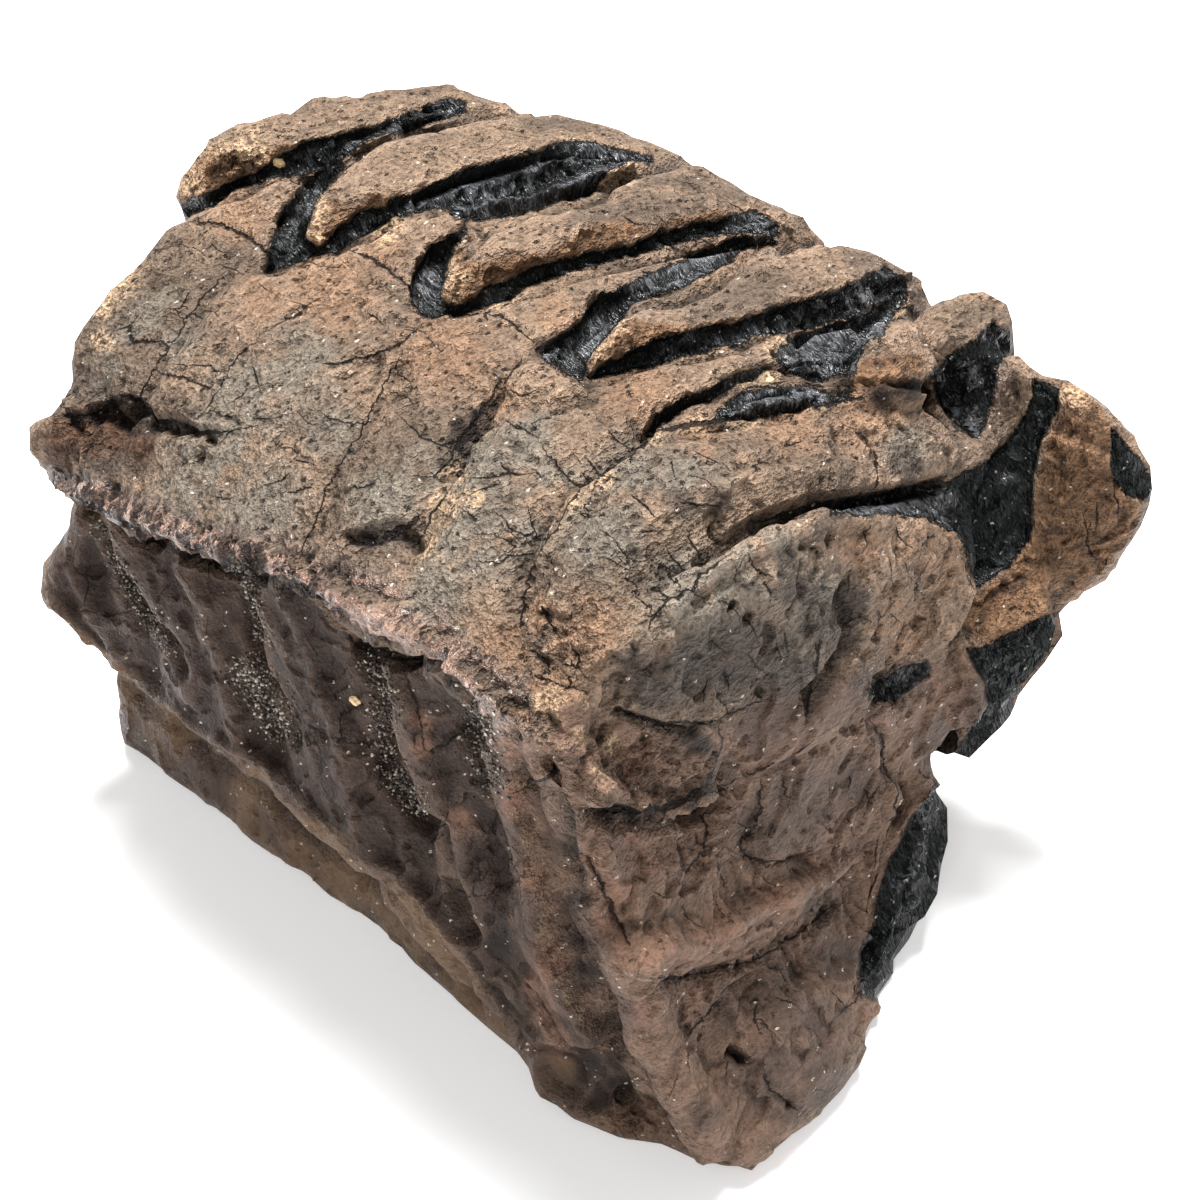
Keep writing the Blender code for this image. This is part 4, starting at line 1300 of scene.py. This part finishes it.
colour = mixed(front, colour, FRONT_BROWN)
# The wall is painted lighter on its broad crests, partly as a painted highlight, and in coarse
# patches of paler tone.
crest_highlight_and_patches = plus(rises(broad_hollow, *CREST_TURNS), rises(coarse, *CREST_PATCHES))
colour = mixed(wall, colour, mixed(crest_highlight_and_patches, WALL_BROWN, WALL_CREST))
colour = mixed(foot, colour, mixed(rises(coarse, *FOOT_TURNS), WALL_CREST, FOOT_BROWN))
colour = mixed(rim, colour, mixed(strands, RIM_DARK, RIM_BROWN))
colour = shaded(kept("pink"), colour, PINK, COVERS["pink"])
# Painted shade, partly a darker tone: the dusky spots darken the colour, more strongly off the
# front.
off_front = times(kept("dusky_and_shade"), rises(front, 1.0, 0.0))
colour = shaded(off_front, colour, DUSKY_AND_SHADE, COVERS["dusky off the front"])
colour = shaded(kept("dusky_and_shade"), colour, DUSKY_AND_SHADE, COVERS["dusky_and_shade"])
fibres = mixed(rises(grain, *FIBRES_TURN), FIBROUS, DENTINE_DARK)
colour = mixed(kept("fibrous"), colour, fibres)
browns = mixed(rises(small, *DENTINE_TURNS), DENTINE_DARK, DENTINE_BROWN)
colour = mixed(dentine, colour, browns)
colour = mixed(times(kept("pale"), rises(speckle, *PALE_TURNS)), colour, PALE)

# Painted shade darkens the hollows and the broad furrows, and a painted highlight brightens the
# crests. The grain's low spots are darker and its high spots paler, and the rubble's tone varies.
# All of it is weaker on the wall, its foot and the front, whose colour is even.
WORN_GRAIN = (0.50, 0.64, 0.5)
CREST_HIGHLIGHT = (-0.1, -0.9, 0.35)
WORN_RUBBLE = (0.5, 0.8, 0.8)
GRIMY_GRAIN = (0.50, 0.38, 0.55)
HOLLOW_SHADE = (0.15, 0.9, 0.4)
GRIMY_RUBBLE = (0.45, 0.2, 0.25)
FURROW_SHADE = (0.05, 0.9, 0.35)
DIMMEST_SHARE = 0.12
grain_and_crest_highlight = plus(rises(speckle, *WORN_GRAIN), rises(hollow, *CREST_HIGHLIGHT),
            times(crumbly, rises(small, *WORN_RUBBLE)))
grain_and_hollow_shade = plus(rises(speckle, *GRIMY_GRAIN), rises(hollow, *HOLLOW_SHADE),
             times(crumbly, rises(small, *GRIMY_RUBBLE)), rises(broad_hollow, *FURROW_SHADE))
light = times(plus(grain_and_crest_highlight, 1.0), goes(grain_and_hollow_shade, 1.0, DIMMEST_SHARE))
even = most(*parts((foot, 0.7), (wall, 0.55), (front, 0.35)))
light = mixed(even, light, 1.0, "FLOAT")
colour = made("VectorMath", {0: colour, "Scale": light}, operation="SCALE")
# Painted shadow: the dark spots turn the colour almost black.
colour = shaded(kept("painted_shadow"), colour, SHADOW_BLACK, COVERS["painted_shadow"])

# The enamel's facets are painted grey on top as a highlight, where they catch the light, and on
# the pale spots. Pits and cracks are the darkest.
FACETS_TURN = (0.44, 0.60)
FACET_CRESTS = 0.12
LIT_LEAST = 0.06
lit = plus(most(times(top, 1 - LIT_LEAST), kept("pale")), LIT_LEAST)
facets = times(rises(less(grain, times(hollow, FACET_CRESTS)), *FACETS_TURN), lit)
colour = mixed(enamel, colour, mixed(facets, ENAMEL_BLACK, ENAMEL_GREY))
# Pits, cracks and crazing are painted near black.
pits = most(times(pores, 0.88), times(crack, 0.92), crazing)
# Painted glints: pale specks laid over the colour.
colour = shaded(painted_glint, mixed(pits, colour, PIT_BLACK), GLINT_PAINT, COVERS["painted_glint"])

# Height in millimetres: on the cement and the dentine, and on the enamel. It counts most on the
# rubble and least on the calm wall.
RUBBLE_STRENGTH = 2.0
CALM_STRENGTH = 0.5
height = plus(*parts((crumbs, 0.50), (grain, 0.75), (flakes, 0.22), (strands, 0.5),
                     (pores, -0.35), (crack, -0.35)))
height = mixed(enamel, height, plus(*parts((grain, 1.1), (flakes, 0.35))), "FLOAT")
calm = less(most(wall, foot, times(front, 0.6)), crumbly)
strength = goes(calm, RUBBLE_STRENGTH, CALM_STRENGTH, -1.0)
bump = made("Bump", {"Height": height, "Distance": 1 / TO_MM, "Strength": strength})

# Gloss: the wall, its foot, the strands and the enamel shine, and the rest is dull.
DULL_ROUGHNESS = 0.6
GLOSSY_ROUGHNESS = 0.16
LEAST_SHINE = 0.12
gloss = most(*parts((wall, 0.6), (foot, 0.75), (strands, 0.85), (enamel, 0.8)))
shine = plus(times(enamel, times(lit, 0.5)), times(strands, 0.7), LEAST_SHINE)
shows("Base Color", colour)
shows("Roughness", goes(gloss, DULL_ROUGHNESS, GLOSSY_ROUGHNESS))
shows("Normal", bump)
shows("Specular IOR Level", less(shine, times(wall, 0.06)))
tooth.data.materials.append(finish)
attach(tooth, "root")
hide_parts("tooth")

# ---- Sand ----
# Quartz sand and grit from the river bed, stuck in the grooves of the wall since it was found.
# It is cemented there by fine silt. Each groove holds some hundreds of grains.
SAND = {
    "first groove": (330, 6, ((112, 552), (125, 580), (145, 612), (165, 640), (172, 655))),
    "under the first rim": (50, 7, ((95, 520), (112, 545))),
    "second groove, high": (230, 6, ((235, 560), (250, 585), (258, 610), (262, 640))),
    "second groove, low": (620, 13, ((250, 660), (262, 690), (275, 715), (282, 735))),
    "beside the second": (120, 10, ((235, 665), (250, 690), (262, 700))),
    "third groove, high": (300, 9, ((368, 655), (380, 680), (388, 700), (385, 720))),
    "third groove, middle": (200, 9, ((375, 715), (380, 740), (388, 760))),
    "third groove, low": (330, 9, ((392, 770), (405, 790), (418, 810))),
    "fourth groove": (380, 11, ((470, 690), (482, 715), (480, 745), (492, 770), (495, 790))),
}
# How wide the grains scatter across their path, how big they are, how uneven, how flat, and how
# far each stands out of the silt.
SCATTERS = (0.8, 0.6)
GRAIN_RADIUS = (0.10, 0.30)
GRAIN_SHARE = (0.6, 1)
GRAIN_UNEVEN = (0.7, 1.15)
GRAIN_FLAT = (1, 0.85, 0.7)
GRAIN_STANDS = 0.3
SAND_DARK = (0.030, 0.023, 0.019, 1)
SAND_BROWN = (0.135, 0.105, 0.080, 1)
SAND_PALE = (0.42, 0.37, 0.31, 1)
SAND_ROUGHNESS = 0.35
# Chance gives each grain a tint from 0 to 1. Where it turns from dark to brown, and to pale.
BROWN_FROM = (0.35, 0.7)
PALE_FROM = (0.8, 0.97)

chance = np.random.default_rng(11)
bpy.ops.mesh.primitive_ico_sphere_add(subdivisions=1, radius=1)
seed_grain = bpy.context.object
grain_points = np.array([v.co for v in seed_grain.data.vertices])
grain_faces = np.array([f.vertices for f in seed_grain.data.polygons])
bpy.data.objects.remove(seed_grain)
grains, tints = [], []
for count, spread, points in SAND.values():
    path = np.array(points, float)
    reach = np.concatenate([[0], np.cumsum(np.linalg.norm(np.diff(path, axis=0), axis=1))])
    at = chance.uniform(0, reach[-1], count)
    spots = np.column_stack([np.interp(at, reach, path[:, k]) for k in (0, 1)])
    for seat in on_tooth(spots + chance.normal(0, spread, spots.shape) * SCATTERS, surface):
        turn = np.linalg.qr(chance.normal(0, 1, (3, 3)))[0]
        radius = chance.uniform(*GRAIN_RADIUS) * chance.uniform(*GRAIN_SHARE)
        shape = grain_points * chance.uniform(*GRAIN_UNEVEN, (len(grain_points), 1)) * GRAIN_FLAT
        lift = surface.find_nearest(Vector(seat))[1] * radius * GRAIN_STANDS
        grains.append(seat + radius * shape @ turn + lift)
        tints.append(chance.uniform())
sand_points = np.clip(np.concatenate(grains), *box) / TO_MM
starts = np.arange(len(grains))[:, None, None] * len(grain_points)
sand = new_piece("sand")
sand.data = bpy.data.meshes.new("sand")
sand_faces = (grain_faces[None] + starts).reshape(-1, 3)
sand.data.from_pydata(sand_points.tolist(), [], sand_faces.tolist())
keep_on(sand.data, "tint", np.repeat(tints, len(grain_points)))
finish = new_finish("sand", {"Roughness": SAND_ROUGHNESS})
tint = kept("tint")
shade = mixed(rises(tint, *BROWN_FROM), SAND_DARK, SAND_BROWN)
shows("Base Color", mixed(rises(tint, *PALE_FROM), shade, SAND_PALE))
sand.data.materials.append(finish)
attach(sand, "root")

# ---- Chips ----
# Three pale crumbs of stone: on the first plate, in the wall's third groove and on the ninth
# plate. Each has its x and y in the picture, and its radius in millimetres.
CHIPS = {
    "first plate": (279, 162, 0.75),
    "third groove": (355, 700, 0.65),
    "ninth plate": (769, 381, 0.5),
}
CHIP_UNEVEN = 0.3
CHIP_LUMP = 0.9
CHIP_SEED = 90
CHIP_FLAT = (1, 0.75, 0.6)
CHIP_CREAM = (0.60, 0.42, 0.22, 1)

bpy.ops.mesh.primitive_ico_sphere_add(subdivisions=3, radius=1)
chips = bpy.context.object
chips.name = "chips"
ball = np.array([v.co for v in chips.data.vertices])
ball_faces = np.array([f.vertices for f in chips.data.polygons])
chip_points, chip_faces = [], []
for number, (x, y, radius) in enumerate(CHIPS.values()):
    turn = np.linalg.qr(chance.normal(0, 1, (3, 3)))[0]
    uneven = 1 + CHIP_UNEVEN * rough_noise(ball, CHIP_LUMP, CHIP_SEED + number)[:, None]
    middle_place = on_tooth([(x, y)], surface)[0]
    chip_points.append(middle_place + radius * (ball * uneven * CHIP_FLAT) @ turn)
    chip_faces.append(ball_faces + number * len(ball))
chips.data = bpy.data.meshes.new("chips")
chip_points = np.concatenate(chip_points) / TO_MM
chips.data.from_pydata(chip_points.tolist(), [], np.concatenate(chip_faces).tolist())
cream = new_finish("cream stone", {"Base Color": CHIP_CREAM, "Roughness": 0.5})
chips.data.materials.append(cream)
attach(chips, "root")

# ---- Floor and light ----
# A plain pale floor that glows faintly, a strong soft light high above, a weak one low at the
# front, and pale light all round. Lengths are in metres here.
FLOOR_SIZE = 14
FLOOR_FINISH = {
    "Base Color": (0.85, 0.85, 0.85, 1),
    "Roughness": 0.9,
    "Specular IOR Level": 0.1,
    "Emission Color": (1, 1, 1, 1),
    "Emission Strength": 0.35,
}
ALL_ROUND = {"Color": (1, 1, 1, 1), "Strength": 0.48}
# Each lamp's place, power and size, and the place that both are aimed at.
LAMPS = {
    "high light": ((-0.06, 0.10, 0.80), 19, 0.26),
    "low light": ((0.34, -0.68, 0.42), 2.2, 0.15),
}
AIMED_AT = Vector((0, 0, 0.03))

bpy.ops.mesh.primitive_plane_add(size=FLOOR_SIZE, location=(0, 0, 0))
floor = bpy.context.object
floor.name = "floor"
floor.data.materials.append(new_finish("pale floor", FLOOR_FINISH))
studio = bpy.data.worlds.new("studio")
studio.use_nodes = True
for setting, value in ALL_ROUND.items():
    studio.node_tree.nodes["Background"].inputs[setting].default_value = value
bpy.context.scene.world = studio
bpy.context.scene.view_settings.view_transform = "Standard"
for name, (spot, power, size) in LAMPS.items():
    bpy.ops.object.light_add(type="AREA", location=spot)
    lamp = bpy.context.object
    lamp.name = name
    lamp.data.energy = power
    lamp.data.size = size
    lamp.rotation_euler = (AIMED_AT - lamp.location).to_track_quat("-Z", "Y").to_euler()
